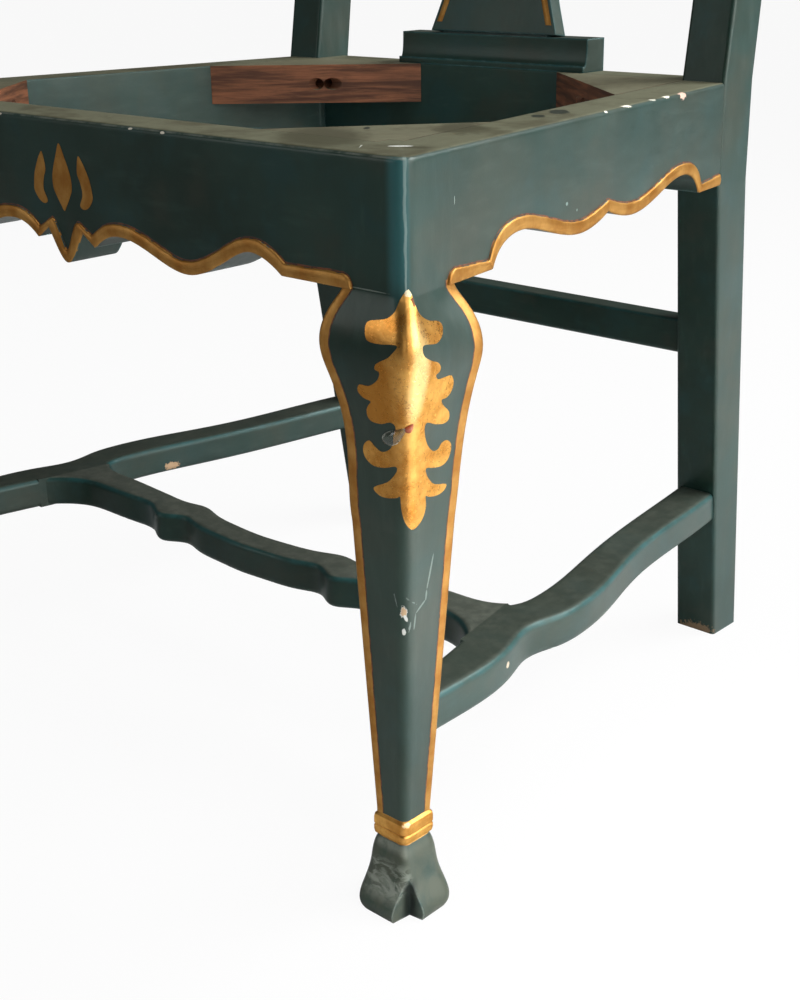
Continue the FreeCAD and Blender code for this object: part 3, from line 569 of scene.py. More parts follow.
@dataclass(frozen=True)
class Lacquer(Finish):
    """Dark teal lacquer, rubbed at the edges and dusty on top, with painted sheen and painted highlights.

    Args:
        run: Way that the brush went.
        chips: Spots of lost paint.
        stains: Dark marks on the paint.
        joints: Joints under the paint.
        leg: Whether the piece is a front leg, with a gilt ring and painted highlights on its outer corner.
        dusty: How grey the surfaces that face up are.
        rail_top: Whether the top is a worn seat bearing.
        ring: Gilding of a front leg's ring.
        ease: How far the edges are rubbed round, in metres.
        teal_edge_highlight: How much teal highlight is painted on the rounded upper edges, broken up like
            wear.
    """

    run: Axis
    chips: tuple[Spot, ...] = ()
    stains: tuple[Spot, ...] = ()
    joints: tuple[Joint, ...] = ()
    leg: bool = False
    dusty: float = 0.60
    rail_top: bool = False
    ring: Gold = Gold(0.35)
    ease: float = 0.0024
    teal_edge_highlight: float = 0.0
    gloss: float = 0.28
    coat: float = 0.06
    coat_rough: float = 0.16
    relief: float = 0.00015

    # Colours of the paint, and of the sheen and light painted on it
    deep: Color = (0.0064, 0.0200, 0.0142)
    mid: Color = (0.0138, 0.0360, 0.0288)
    teal: Color = (0.0085, 0.0390, 0.0405)
    pale: Color = (0.0480, 0.0880, 0.0740)
    brown: Color = (0.0280, 0.0300, 0.0210)
    # Painted sheen on the side faces
    bloom: Color = (0.094, 0.102, 0.088)
    sheen_cool: Color = (0.066, 0.098, 0.094)
    # Painted light on the lower front of a front leg
    front_light_tint: Color = (0.074, 0.104, 0.084)
    sheen: Color = (0.88, 1.0, 0.93)

    # Colours of its wear, with painted highlights and painted shade among them
    # Teal of the edges, partly the paint's own and partly a painted highlight
    edge: Color = (0.0250, 0.0980, 0.1040)
    rubbed: Color = (0.22, 0.31, 0.29)
    # Painted highlight along a front leg's outer corner
    ridge: Color = (0.30, 0.37, 0.35)
    # Painted highlight along the front rail's top edge
    lip_highlight: Color = (0.22, 0.235, 0.20)
    film: Color = (0.0660, 0.0710, 0.0560)
    ground: Color = (0.36, 0.36, 0.29)
    hoof: Color = (0.062, 0.069, 0.051)
    smear: Color = (0.23, 0.255, 0.22)
    toe: Color = (0.34, 0.37, 0.32)
    # Painted shade in the hoof's cleft
    dirt: Color = (0.004, 0.007, 0.006)

    def shader(self, graph: Graph) -> Sock:
        """Return the lacquer as a shader.

        Args:
            graph: Graph that the nodes go in.

        Returns:
            The shader, with a front leg's gilt ring.
        """
        place = graph.place()
        shape = graph.normal()
        eased = graph.node("ShaderNodeBevel", {"samples": 6}, {"Radius": self.ease})
        clear = self._clear_of_joints(place)
        brush = place.scaled(self.run.value).noise(150.0, 4.0, 0.6)
        fine = place.noise(700.0, 3.0, 0.6)
        rub = place.noise(70.0, 5.0, 0.65)
        color = self._faded(shape, place, brush, self._paint(place, brush))
        color = self._edges(place, (1.0 - shape.dot(eased)) * clear, rub, color)
        color = self._upper_edges(shape, rub, color)
        color, rough = self._top(place, shape.z.step(0.72, 0.97), color, brush * 0.14 + fine * 0.06 + 0.27)
        lost, color = self._lost(place, color)
        height = brush * 0.30 + fine * 0.20 - lost * 1.6
        normal = height.bump(self.relief, graph.blend(clear, shape, eased))
        paint = graph.principled({"Base Color": color, "Roughness": rough + lost * 0.35,
                                  "Specular IOR Level": self.gloss, "Specular Tint": self.sheen,
                                  "Coat Weight": self.coat - lost * self.coat,
                                  "Coat Roughness": self.coat_rough, "Normal": normal})
        if not self.leg:
            return paint
        level = place.z + (place.noise(260.0) - 0.5) * 0.0006
        band = level.step(ANKLE - RING - 0.0004, ANKLE - RING) * level.step(ANKLE + 0.0006, ANKLE + 0.0002)
        return band.layer(paint, self.ring.shader(graph))

    def _clear_of_joints(self, place: Sock) -> Any:
        """Return 0 at a painted joint and 1 away from all of them.

        Args:
            place: Position in the chair's frame.

        Returns:
            The mask, or the number 1 for a piece without joints.
        """
        clear: Any = 1.0
        for joint in self.joints:
            offset = joint.place.dot(joint.normal)
            clear = clear * abs(place.dot(tuple(joint.normal)) - offset).step(0.0032, 0.0048)
        if self.leg:
            clear = clear | place.z.step(UNDERSIDE, UNDERSIDE - 0.004)
        return clear

    def _paint(self, place: Sock, brush: Sock) -> Sock:
        """Return the colour of sound paint.

        Args:
            place: Position in the chair's frame.
            brush: Marks of the brush.

        Returns:
            The colour.
        """
        cloud = place.noise(11.0, 4.0)
        smoke = place.scaled((1.0, 1.0, 1.0), (4.0, 7.0, 2.0)).noise(19.0, 4.0, 0.6)
        color = cloud.step(0.32, 0.70).mix(self.deep, self.mid)
        color = (smoke.step(0.50, 0.68) * 0.45).mix(color, self.brown)
        color = (smoke.step(0.50, 0.34) * 0.48).mix(color, self.teal)
        return (brush.step(0.52, 0.80) * 0.16).mix(color, self.pale)

    def _faded(self, shape: Sock, place: Sock, brush: Sock, color: Sock) -> Sock:
        """Return the colour with painted sheen on the side faces and painted light on a front leg's lower
        front.

        Args:
            shape: Normal of the surface.
            place: Position in the chair's frame.
            brush: Marks of the brush.
            color: Colour of sound paint.

        Returns:
            The colour with painted sheen at the sides, and painted light in front on the lower part of a
            front leg.
        """
        # Painted sheen: faces that turn to the sides are lightened towards grey
        sheen_share = abs(shape.x).step(0.45, 0.95) * (0.13 + brush * 0.30)
        drift = place.noise(14.0, 4.0, 0.6, 0.4).step(0.40, 0.62)
        color = sheen_share.mix(color, drift.mix(self.sheen_cool, self.bloom))
        if self.leg:
            # Painted light: the front of a front leg's lower part is lightened
            front = abs(shape.y).step(0.45, 0.95) * place.z.step(0.34, 0.26)
            color = (front * (0.12 + brush * 0.28)).mix(color, self.front_light_tint)
        return color

    def _edges(self, place: Sock, turn: Sock, rub: Sock, color: Sock) -> Sock:
        """Return the colour with the wear and teal of the edges, a painted highlight at a front leg's outer
        corner, and the marks of its foot.

        Args:
            place: Position in the chair's frame.
            turn: How far the surface turns near here.
            rub: Patches of wear.
            color: Colour of the paint.

        Returns:
            The colour with these marks.
        """
        if self.rail_top:
            turn = turn * (1.0 - place.z.step(SEAT_TOP - 0.007, SEAT_TOP - 0.004) * 0.8)
        # Teal on the edges, partly a painted highlight
        thin = turn.step(0.004, 0.11) * 0.75
        if self.leg:
            # Painted highlight: a teal band on the front face beside a front leg's outer corner
            inset = HALF_FRONT - abs(place.x)
            behind = place.y - FRONT_Y
            post = place.z.step(UNDERSIDE - 0.012, UNDERSIDE + 0.015)
            thin = thin | (inset.step(0.0150, 0.0085) * behind.step(0.0055, 0.0020) * post * 0.9)
        color = thin.mix(color, self.edge)
        color = (turn.step(0.06, 0.20) * rub.step(0.48, 0.64) * 0.30).mix(color, self.rubbed)
        if self.leg:
            # Painted highlight: a pale line along the outer corner
            color = (self._ridge_line(place) * 0.5).mix(color, self.ridge)
            color = self._foot(place, turn, color)
        return color

    def _ridge_line(self, place: Sock) -> Sock:
        """Return the thin wavering pale line painted along the outer corner of a front leg as its highlight.

        Args:
            place: Position in the chair's frame.

        Returns:
            The mask of the line.
        """
        lean = place.y - FRONT_Y + abs(place.x) - HALF_FRONT
        waver = place.scaled((0.2, 0.2, 1.0)).noise(60.0, 3.0) - 0.5
        post = place.z.step(UNDERSIDE - 0.004, UNDERSIDE + 0.002)
        thick = place.scaled((0.2, 0.2, 1.0), (0.0, 0.0, 3.0)).noise(45.0, 2.0).step(0.3, 0.7)
        far = abs(lean + 0.0006 + waver * 0.003) - thick * 0.0009
        return far.step(0.0009, 0.0001) * post * (1.0 - thick * 0.35)

    def _foot(self, place: Sock, turn: Sock, color: Sock) -> Sock:
        """Return the colour with the hoof's scuffs, its worn edges and painted shade in the cleft.

        Args:
            place: Position in the chair's frame.
            turn: How far the surface turns near here.
            color: Colour of the leg.

        Returns:
            The colour of leg and hoof.
        """
        height = place.z
        foot = height.step(ANKLE - RING + 0.001, ANKLE - RING - 0.004)
        scuff = place.noise(48.0, 5.0, 0.62, 0.6)
        color = (foot * scuff.step(0.30, 0.62) * 0.9).mix(color, self.hoof)
        smear = place.scaled((1.0, 1.0, 2.2)).noise(90.0, 4.0, 0.6, 1.2)
        front = place.y.step(FRONT_Y + 0.012, FRONT_Y + 0.004)
        level = height.step(0.0100, 0.0160) * height.step(0.0345, 0.0270)
        color = (foot * front * level * smear.step(0.42, 0.62) * 0.75).mix(color, self.smear)
        across = (abs(place.x) + place.y) * 0.7071 - (HALF_FRONT + FRONT_Y) * 0.7071
        # Painted shade: the hoof's cleft is darkened
        cleft = abs(across + 0.0024).step(0.0058, 0.0016) * height.step(0.0250, 0.0190)
        worn = foot * (1.0 - cleft) * turn.step(0.07, 0.22) * scuff.step(0.30, 0.46)
        color = (worn * 0.7).mix(color, self.toe)
        return (foot * cleft * 0.92).mix(color, self.dirt)

    def _upper_edges(self, shape: Sock, rub: Sock, color: Sock) -> Sock:
        """Return the colour with painted highlights on the rounded upper edges, broken up like wear.

        Args:
            shape: Normal of the surface.
            rub: Patches of wear.
            color: Colour without these marks.

        Returns:
            The colour with the painted highlights.
        """
        tilt = shape.z
        if self.teal_edge_highlight:
            # Painted highlight, broken up like wear: teal on the rounded upper edges
            curve = tilt.step(0.02, 0.45) * tilt.step(0.95, 0.78) * (0.4 + rub.step(0.35, 0.60) * 0.6)
            color = (curve * self.teal_edge_highlight).mix(color, self.edge)
        if self.rail_top:
            # Painted highlight: a pale line along the top edge where it faces front
            front = shape.y.step(-0.20, -0.55) * tilt.step(0.40, 0.58) * tilt.step(0.86, 0.70)
            color = (front * (0.08 + rub.step(0.36, 0.60) * 0.4)).mix(color, self.lip_highlight)
        return color

    def _top(self, place: Sock, up: Sock, color: Sock, rough: Sock) -> tuple[Sock, Sock]:
        """Return the finish with the dust or the seat wear on what faces up.

        Args:
            place: Position in the chair's frame.
            up: Where the surface faces up.
            color: Colour of the paint.
            rough: Roughness of the paint.

        Returns:
            The colour and the roughness.
        """
        grime = place.noise(120.0, 5.0, 0.7)
        if self.rail_top:
            tint = seat_wear(place)
            level = place.z + (grime - 0.5) * 0.0016
            amount = level.step(SEAT_TOP - 0.0022, SEAT_TOP - 0.0010) * up * (0.85 + grime * 0.15)
        else:
            tint = grime.step(0.35, 0.7).mix(dimmed(self.film, 0.70), self.film)
            amount = up * self.dusty * (0.60 + grime * 0.6)
        return marked(place, amount.mix(color, tint), self.stains), rough + amount * 0.22

    def _lost(self, place: Sock, color: Sock) -> tuple[Sock, Sock]:
        """Return where paint is lost, and what shows there.

        Args:
            place: Position in the chair's frame.
            color: Colour of the paint.

        Returns:
            The mask of lost paint, and the colour with it.
        """
        uneven = place.noise(420.0, 4.0, 0.7) - 0.5
        lost = place.noise(260.0, 2.0).step(0.845, 0.86) * 0.5
        color = lost.mix(color, self.ground)
        for chip in self.chips:
            spot = (place.within(chip) + uneven * (1.6 * chip.ragged)).step(1.0, 0.86)
            color = spot.mix(color, chip.color)
            lost = lost | spot
        return lost, color


@dataclass(frozen=True)
class BareWood(Finish):
    """Bare reddish wood of the blocks, with the dust of the seat on top."""

    grain: Triple = (0.06, 0.06, 1.0)
    dark: Color = (0.060, 0.024, 0.012)
    light: Color = (0.230, 0.088, 0.040)
    stains: tuple[Spot, ...] = SEAT_MARKS

    def shader(self, graph: Graph) -> Sock:
        """Return the wood as a shader.

        Args:
            graph: Graph that the nodes go in.

        Returns:
            The shader.
        """
        place = graph.place()
        along = place.scaled(self.grain)
        grain = along.noise(260.0, 5.0, 0.6, 0.25)
        pores = along.noise(1400.0, 2.0)
        color = grain.step(0.35, 0.70).mix(self.dark, self.light)
        color = (pores.step(0.58, 0.72) * 0.5).mix(color, self.dark)
        color = (place.noise(30.0, 4.0).step(0.5, 0.75) * 0.5).mix(color, self.dark)
        up = graph.normal().z.step(0.8, 0.97)
        color = marked(place, (up * 0.95).mix(color, seat_wear(place)), self.stains)
        return graph.principled({"Base Color": color, "Roughness": grain * 0.2 + 0.5,
                                 "Specular IOR Level": 0.3,
                                 "Normal": (grain * 0.6 + pores * 0.4).bump(0.0003)})


@dataclass(frozen=True)
class Steel(Finish):
    """Dull screws with a bloom of rust."""

    clean: Color = (0.36, 0.34, 0.31)
    rust: Color = (0.16, 0.07, 0.03)

    def shader(self, graph: Graph) -> Sock:
        """Return the steel as a shader.

        Args:
            graph: Graph that the nodes go in.

        Returns:
            The shader.
        """
        place = graph.place()
        bloom = place.noise(300.0, 5.0, 0.7).step(0.46, 0.62)
        turned = place.noise(1800.0, 2.0)
        return graph.principled({"Base Color": bloom.mix(self.clean, self.rust),
                                 "Metallic": 1.0 - bloom * 0.8,
                                 "Roughness": bloom * 0.35 + turned * 0.1 + 0.3,
                                 "Normal": (turned + bloom).bump(0.0001)})


@dataclass(frozen=True)
class Varnish(Finish):
    """Thick glassy drop of old varnish.

    Args:
        tint: Colour of the varnish.
        clear: How much light goes through.
        rim: Size of a drop with a pale rim that is a painted reflection, and the colour of the rim.
    """

    tint: Color = (0.80, 0.86, 0.74)
    clear: float = 0.95
    rim: Spot | None = None

    def shader(self, graph: Graph) -> Sock:
        """Return the varnish as a shader.

        Args:
            graph: Graph that the nodes go in.

        Returns:
            The shader.
        """
        place = graph.place()
        milky = place.noise(420.0, 3.0)
        shade = dimmed(self.tint, 0.6)
        glass = graph.principled({"Base Color": (milky.step(0.5, 0.8) * 0.5).mix(self.tint, shade),
                                  "Roughness": milky * 0.08 + 0.02, "Transmission Weight": self.clear,
                                  "IOR": 1.5, "Normal": milky.bump(0.0002)})
        if self.rim is None:
            return glass
        # Painted reflection: a pale rim stands in for the bright surroundings seen at the drop's edge
        rim_shine = graph.principled({"Base Color": milky.mix(shade, self.rim.color),
                                   "Roughness": milky * 0.2 + 0.1})
        lip_highlight = place.within(self.rim).step(0.84, 1.12) * milky.step(0.34, 0.56)
        return (lip_highlight * 0.8).layer(glass, rim_shine)


@dataclass(frozen=True)
class Paper(Finish):
    """Pale studio floor that stays white to the camera and keeps its shadow.

    Args:
        tone: How pale it is.
        lift: How much of its own shading the camera doesn't see.
    """

    tone: float = 0.58
    lift: float = 0.94

    def shader(self, graph: Graph) -> Sock:
        """Return the floor as a shader.

        Args:
            graph: Graph that the nodes go in.

        Returns:
            The shader.
        """
        color = graph.place().noise(40.0, 2.0).mix((self.tone,) * 3, (self.tone * 0.99,) * 3)
        matte = graph.node("ShaderNodeBsdfDiffuse", None, {"Color": color})
        glow = graph.node("ShaderNodeEmission", None, {"Color": WHITE, "Strength": 1.0})
        return (graph.seen_white() * self.lift).layer(matte, glow)


def put(finish: bpy.types.Material, *nodes: bpy.types.Object) -> None:
    """Give CAD nodes one material.

    Args:
        finish: The material.
        nodes: The nodes.
    """
    for node in nodes:
        node.data.materials.clear()
        node.data.materials.append(finish)
        LOG.info("dressed %s", node.name)


def lacquer(nodes: Nodes, finishes: dict[str, Lacquer]) -> None:
    """Give each CAD node its own lacquer.

    Args:
        nodes: CAD nodes by name.
        finishes: Lacquer by the name of the node.
    """
    for name, finish in finishes.items():
        put(finish.build("lacquer_" + name), nodes[name])


# Mesh tools


def make_piece(name: str, points: Iterable[Vector], faces: Iterable[Sequence[int]],
               finish: bpy.types.Material) -> None:
    """Make one object that rides on the chair.

    Args:
        name: Name of the object.
        points: Corners in metres.
        faces: Corner numbers of each face.
        finish: Material of the object.
    """
    data = bpy.data.meshes.new(name)
    data.from_pydata([tuple(point) for point in points], [], [tuple(face) for face in faces])
    maker = bmesh.new()
    maker.from_mesh(data)
    bmesh.ops.remove_doubles(maker, verts=maker.verts, dist=1e-7)
    bmesh.ops.recalc_face_normals(maker, faces=maker.faces)
    maker.to_mesh(data)
    maker.free()
    data.materials.append(finish)
    data.shade_smooth()
    made = bpy.data.objects.new(name, data)
    bpy.context.scene.collection.objects.link(made)
    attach(made, "root")
    LOG.info("made %s", name)


def make_ribbon(name: str, rows: Sequence[Sequence[Vector]], finish: bpy.types.Material) -> None:
    """Make a ribbon.

    Args:
        name: Name of the object.
        rows: Rows of points, each as long as the first.
        finish: Material of the object.
    """
    wide = len(rows[0])
    starts = [i * wide + j for i in range(len(rows) - 1) for j in range(wide - 1)]
    faces = [(a, a + 1, a + wide + 1, a + wide) for a in starts]
    make_piece(name, [point for row in rows for point in row], faces, finish)


def on_side(points: Iterable[Vector], side: Side) -> list[Vector]:
    """Return points of the right half of the chair, as they are on one side."""
    return [point * Vector((side.value, 1, 1)) for point in points]


def tree_of(node: bpy.types.Object) -> BVHTree:
    """Return a search tree of a CAD node's faces."""
    places = [vertex.co for vertex in node.data.vertices]
    return BVHTree.FromPolygons(places, [tuple(face.vertices) for face in node.data.polygons])


def near(tree: BVHTree, point: Vector, lift: float) -> Vector:
    """Return the point of a surface that is nearest to a given one, lifted off it."""
    spot, normal, _, _ = tree.find_nearest(point)
    return spot + normal * lift


def rounded(outline: Sequence[Pair], steps: int = 5) -> list[Pair]:
    """Return a smooth outline.

    Args:
        outline: Points that it passes through.
        steps: How many points replace each one.

    Returns:
        The closed outline.
    """
    count = len(outline)
    result: list[Pair] = []
    for i in range(count):
        p0, p1, p2, p3 = (Vector(outline[(i + k) % count]) for k in (-1, 0, 1, 2))
        for j in range(steps):
            t = j / steps
            point = (p1 * 2 + (p2 - p0) * t + (p0 * 2 - p1 * 5 + p2 * 4 - p3) * t ** 2
                     + (p1 * 3 - p0 - p2 * 3 + p3) * t ** 3) * 0.5
            result.append((point.x, point.y))
    return result


def filled(outline: Sequence[Pair], spacing: float) -> tuple[list[Pair], list[Sequence[int]]]:
    """Fill a closed outline with a fine mesh.

    Args:
        outline: Points of the outline.
        spacing: Distance of the points inside it.

    Returns:
        The points, and the point numbers of each face.
    """
    points = [Vector(pair) for pair in outline]
    low = Vector((min(p.x for p in points), min(p.y for p in points)))
    high = Vector((max(p.x for p in points), max(p.y for p in points)))
    rows = int((high.y - low.y) / spacing)
    columns = int((high.x - low.x) / spacing)
    inner = [Vector((low.x + (i + 0.5 + 0.25 * (j % 2)) * spacing, low.y + (j + 0.5) * spacing))
             for j in range(rows) for i in range(columns)]
    inner = [p for p in inner if min((p - q).length for q in points) > spacing * 0.45]
    found = delaunay_2d_cdt(points + inner, [], [list(range(len(points)))], 1, 1e-7)
    return [(p.x, p.y) for p in found[0]], [tuple(face) for face in found[2]]


def both_halves(half: Sequence[Pair]) -> list[Pair]:
    """Return a closed outline from its right half, listed from top to bottom on the middle line."""
    left = [(-u, v) for u, v in reversed(half) if abs(u) > 1e-9]
    return list(half) + left


def unsteady(place: float, seed: float) -> float:
    """Return the waver of a painted edge, from about -1 to 1, at a place along it in metres."""
    return 0.7 * noise.noise((place * 130.0, seed, 0.3)) + 0.6 * noise.noise((place * 420.0, seed, 4.7))


@dataclass(frozen=True)
class Plane:
    """A flat face of the chair with its own axes.

    Args:
        origin: Where both coordinates are zero.
        along: First axis.
        up: Second axis.
        out: Outward normal.
    """

    origin: Vector
    along: Vector
    up: Vector
    out: Vector

    def point(self, u: float, v: float, lift: float = 0.0) -> Vector:
        """Return the point at u along, v up and lift out."""
        return self.origin + self.along * u + self.up * v + self.out * lift

    def flat(self, point: Vector) -> Triple:
        """Return u, v and the distance out of a point."""
        away = point - self.origin
        return away.dot(self.along), away.dot(self.up), away.dot(self.out)

    def spans(self, node: bpy.types.Object, lift: float) -> Span:
        """Measure the faces of a CAD node that lie along this plane.

        Args:
            node: The node.
            lift: Distance of the faces out of this plane.

        Returns:
            A function that gives their lowest and highest v at any u.
        """
        data = node.data
        outlines = []
        for face in data.polygons:
            corners = [self.flat(data.vertices[i].co) for i in face.vertices]
            level = all(abs(corner[2] - lift) < 2e-4 for corner in corners)
            if level and abs(face.normal.dot(self.out)) > 0.9:
                outlines.append([(corner[0], corner[1]) for corner in corners])

        def at(u: float) -> Pair | None:
            """Measure the faces at one place.

            Args:
                u: The place.

            Returns:
                Lowest and highest v, if there is a face.
            """
            hits = []
            for corners in outlines:
                for (u0, v0), (u1, v1) in zip(corners, corners[1:] + corners[:1]):
                    if min(u0, u1) <= u <= max(u0, u1) and abs(u1 - u0) > 1e-9:
                        hits.append(v0 + (v1 - v0) * (u - u0) / (u1 - u0))
            return (min(hits), max(hits)) if hits else None

        return at


# Planes and joints of the chair


def front_plane() -> Plane:
    """Return the outer face of the front rail, with u from the middle and v as height."""
    return Plane(Vector((0, FRONT_Y, 0)), Vector((1, 0, 0)), Vector((0, 0, 1)), Vector((0, -1, 0)))


def side_plane(side: Side) -> Plane:
    """Return the outer face of a side rail.

    Args:
        side: Side of the chair.

    Returns:
        The plane, with u from the front corner and v as height.
    """
    along = Vector((side.value * (HALF_REAR - HALF_FRONT) / SIDE_RUN, SEAT_RUN / SIDE_RUN, 0))
    out = Vector((side.value * along.y, -side.value * along.x, 0))
    return Plane(Vector((side.value * HALF_FRONT, FRONT_Y, 0)), along, Vector((0, 0, 1)), out)


def front_joint(side: Side) -> Joint:
    """Return the joint of the front rail and a front leg."""
    return Joint(Vector((side.value * (HALF_FRONT - FRONT_POST), FRONT_Y, 0)), side_plane(side).out)


def side_joint(side: Side) -> Joint:
    """Return the joint of a side rail and its front leg."""
    return Joint(side_plane(side).point(FRONT_POST, 0), Vector((0, 1, 0)))


def rear_joint() -> Joint:
    """Return the joint of the side rails and the rear posts."""
    return Joint(Vector((0, FRONT_Y + SEAT_RUN, 0)), Vector((0, 1, 0)))


def cross_joint(side: Side) -> Joint:
    """Return the joint of the cross stretcher and a side stretcher."""
    plane = side_plane(side)
    return Joint(plane.point(0, 0, -CROSS_INSET), plane.out)


# Sub-assemblies


@dataclass
class SeatFrame:
    """Rails, corner blocks and their screws, with the gilt bead along the scalloped edges."""

    nodes: Nodes
    gold: bpy.types.Material
    bole: bpy.types.Material
    bead_rise: float = 0.0011
    bead_past: float = 0.0074
    bead_close: float = 0.96
    bead_full: float = 0.7
    bead_seat: float = 0.0002
    bead_sunk: Pair = (0.0009, 0.0010)
    bead_steps: int = 8
    line_width: float = 0.0007
    line_shape: tuple[Pair, ...] = ((-0.6, 0.00012), (0.4, 0.00012), (1.4, 0.00002))
    step: float = 0.0012
    ornament_lift: float = 0.00015
    ornament_mesh: float = 0.0016
    petal: tuple[Pair, ...] = (
        (0.0182, 0.4186), (0.0213, 0.4164), (0.0238, 0.4128), (0.0276, 0.4058), (0.0293, 0.3991),
        (0.0294, 0.3942), (0.0252, 0.3891), (0.0200, 0.3873), (0.0166, 0.3895), (0.0198, 0.3962),
        (0.0184, 0.4032), (0.0160, 0.4089),
    )
    drop: tuple[Pair, ...] = (
        (0.0, 0.4250), (0.0040, 0.4180), (0.0088, 0.4070), (0.0094, 0.3985), (0.0062, 0.3925),
        (0.0030, 0.3880), (0.0, 0.3845),
    )
    front_chips: tuple[Spot, ...] = (
        Spot((0.0701, FRONT_Y, 0.4386), (0.0024, 0.0012, 0.0009)),
        Spot((0.0987, FRONT_Y, 0.4384), (0.0020, 0.0012, 0.0009)),
        Spot((-0.0600, FRONT_Y, 0.4386), (0.0022, 0.0012, 0.0009)),
    )
    side_chips: tuple[Spot, ...] = (
        Spot((0.2449, -0.0434, 0.4393), (0.0010, 0.0020, 0.0009), ragged=1.6),
        Spot((0.2394, -0.0149, 0.4397), (0.0013, 0.0062, 0.0012), ragged=1.8),
        Spot((0.2333, 0.0233, 0.4396), (0.0010, 0.0050, 0.0009), (0.40, 0.40, 0.34), ragged=1.8),
        Spot((0.2302, 0.0428, 0.4396), (0.0013, 0.0052, 0.0011), ragged=1.8),
        Spot((0.2270, 0.0670, 0.4384), (0.0022, 0.0060, 0.0030), (0.52, 0.36, 0.29), ragged=1.6),
        Spot((0.2741, -0.2148, 0.4133), (0.0010, 0.0005, 0.0026), (0.34, 0.40, 0.38), ragged=0.3),
        Spot((0.2538, -0.0917, 0.3926), (0.0012, 0.0013, 0.0011), TEAL_GREY),
        Spot((0.2517, -0.0789, 0.3871), (0.0012, 0.0010, 0.0009), TEAL_GREY),
    )

    def build(self) -> None:
        """Dress the CAD nodes and add the gilding."""
        self._dress()
        half = HALF_FRONT - FRONT_POST
        front = front_plane()
        self._bead("front_bead", "front_rail", front, (-half, half), (self.bead_past, self.bead_past))
        for side in Side:
            self._bead("side_bead_" + side.word, "side_rail_" + side.word, side_plane(side),
                       (FRONT_POST, SIDE_RUN), (self.bead_past, 0.0))
        self._ornament(front)

    def _dress(self) -> None:
        """Give the CAD nodes their finishes."""
        fronts = tuple(front_joint(side) for side in Side)
        right, left = ((side_joint(side), rear_joint()) for side in Side)
        finishes = {
            "front_rail": Lacquer(Axis.X, self.front_chips, SEAT_MARKS, fronts, rail_top=True),
            "side_rail_right": Lacquer(Axis.Y, self.side_chips, SEAT_MARKS, right, rail_top=True),
            "side_rail_left": Lacquer(Axis.Y, joints=left, rail_top=True),
            "rear_rail": Lacquer(Axis.X, rail_top=True),
        }
        lacquer(self.nodes, finishes)
        put(Steel().build("screw_steel"), self.nodes["corner_block_screws"])
        blocks = [f"{end}_corner_block_{side.word}" for end in ("front", "rear") for side in Side]
        put(BareWood().build("bare_wood"), *(self.nodes[name] for name in blocks))

    def _bead(self, name: str, node: str, plane: Plane, ends: Pair, past: Pair) -> None:
        """Add one rounded bead over the flat band of a rail, and the clay line above it.

        Args:
            name: Name of the bead.
            node: Name of the rail.
            plane: Outer face of the rail.
            ends: Where the rail starts and ends along the plane.
            past: How far the bead runs on at both ends.
        """
        # The band of a side rail is set out along X, so it stands a little less far out of the skewed face
        lift = BEAD_PROUD * (abs(plane.out.x) or 1.0)
        span = plane.spans(self.nodes[node], lift)
        start, end = ends[0] - past[0], ends[1] + past[1]
        count = int((end - start) / self.step)
        bead, line = [], []
        for i in range(count + 1):
            u = start + (end - start) * i / count
            found = span(min(max(u, ends[0] + HAIR), ends[1] - HAIR))
            if found is None:
                continue
            low, high = found
            over = max(ends[0] - u, u - ends[1], 0.0) / self.bead_past
            high = low + (high - low) * math.sqrt(1.0 - self.bead_close * over ** 2)
            high = high + WAVER * unsteady(u, plane.out.x)
            bead.append(self._bead_row(plane, u, (low, high), lift))
            line.append([plane.point(u, high + self.line_width * v, rise) for v, rise in self.line_shape])
        first, last = ([point - plane.out * (plane.flat(point)[2] - 1e-5) for point in row]
                       for row in (bead[0], bead[-1]))
        make_ribbon(name, [first, *bead, last], self.gold)
        make_ribbon(name + "_line", line, self.bole)

    def _bead_row(self, plane: Plane, u: float, span: Pair, lift: float) -> list[Vector]:
        """Return the section of a bead.

        Args:
            plane: Outer face of the rail.
            u: Place along the plane.
            span: Lower and upper edge of the bead.
            lift: Distance of the rail's band out of the plane.

        Returns:
            Points from the lower to the upper edge, both sunk in the band.
        """
        low, high = span
        row = [plane.point(u, low - HAIR, lift - self.bead_sunk[0])]
        for j in range(self.bead_steps + 1):
            t = j / self.bead_steps
            rise = self.bead_rise * math.sin(math.pi * (0.06 + 0.88 * t)) ** self.bead_full
            row.append(plane.point(u, low + (high - low) * t, lift + rise - self.bead_seat))
        row.append(plane.point(u, high + HAIR, lift - self.bead_sunk[1]))
        return row

    def _ornament(self, front: Plane) -> None:
        """Add the gilt petals and drop in the middle of the front rail.

        Args:
            front: Outer face of the front rail.
        """
        outlines = {
            "apron_petal_right": self.petal,
            "apron_petal_left": [(-u, v) for u, v in self.petal],
            "apron_drop": both_halves(self.drop),
        }
        for name, outline in outlines.items():
            flat, faces = filled(rounded(outline), self.ornament_mesh)
            make_piece(name, [front.point(u, v, self.ornament_lift) for u, v in flat], faces, self.gold)


@dataclass(frozen=True)
class Drop:
    """A drop of varnish on the right knee.

    Args:
        name: Name of the piece.
        u: Place across the ridge, to the right.
        z: Height.
        wide: Half length.
        tall: Half width.
        tilt: Angle of its length from the level.
        rise: Thickness.
    """

    name: str
    u: float
    z: float
    wide: float
    tall: float
    tilt: float
    rise: float


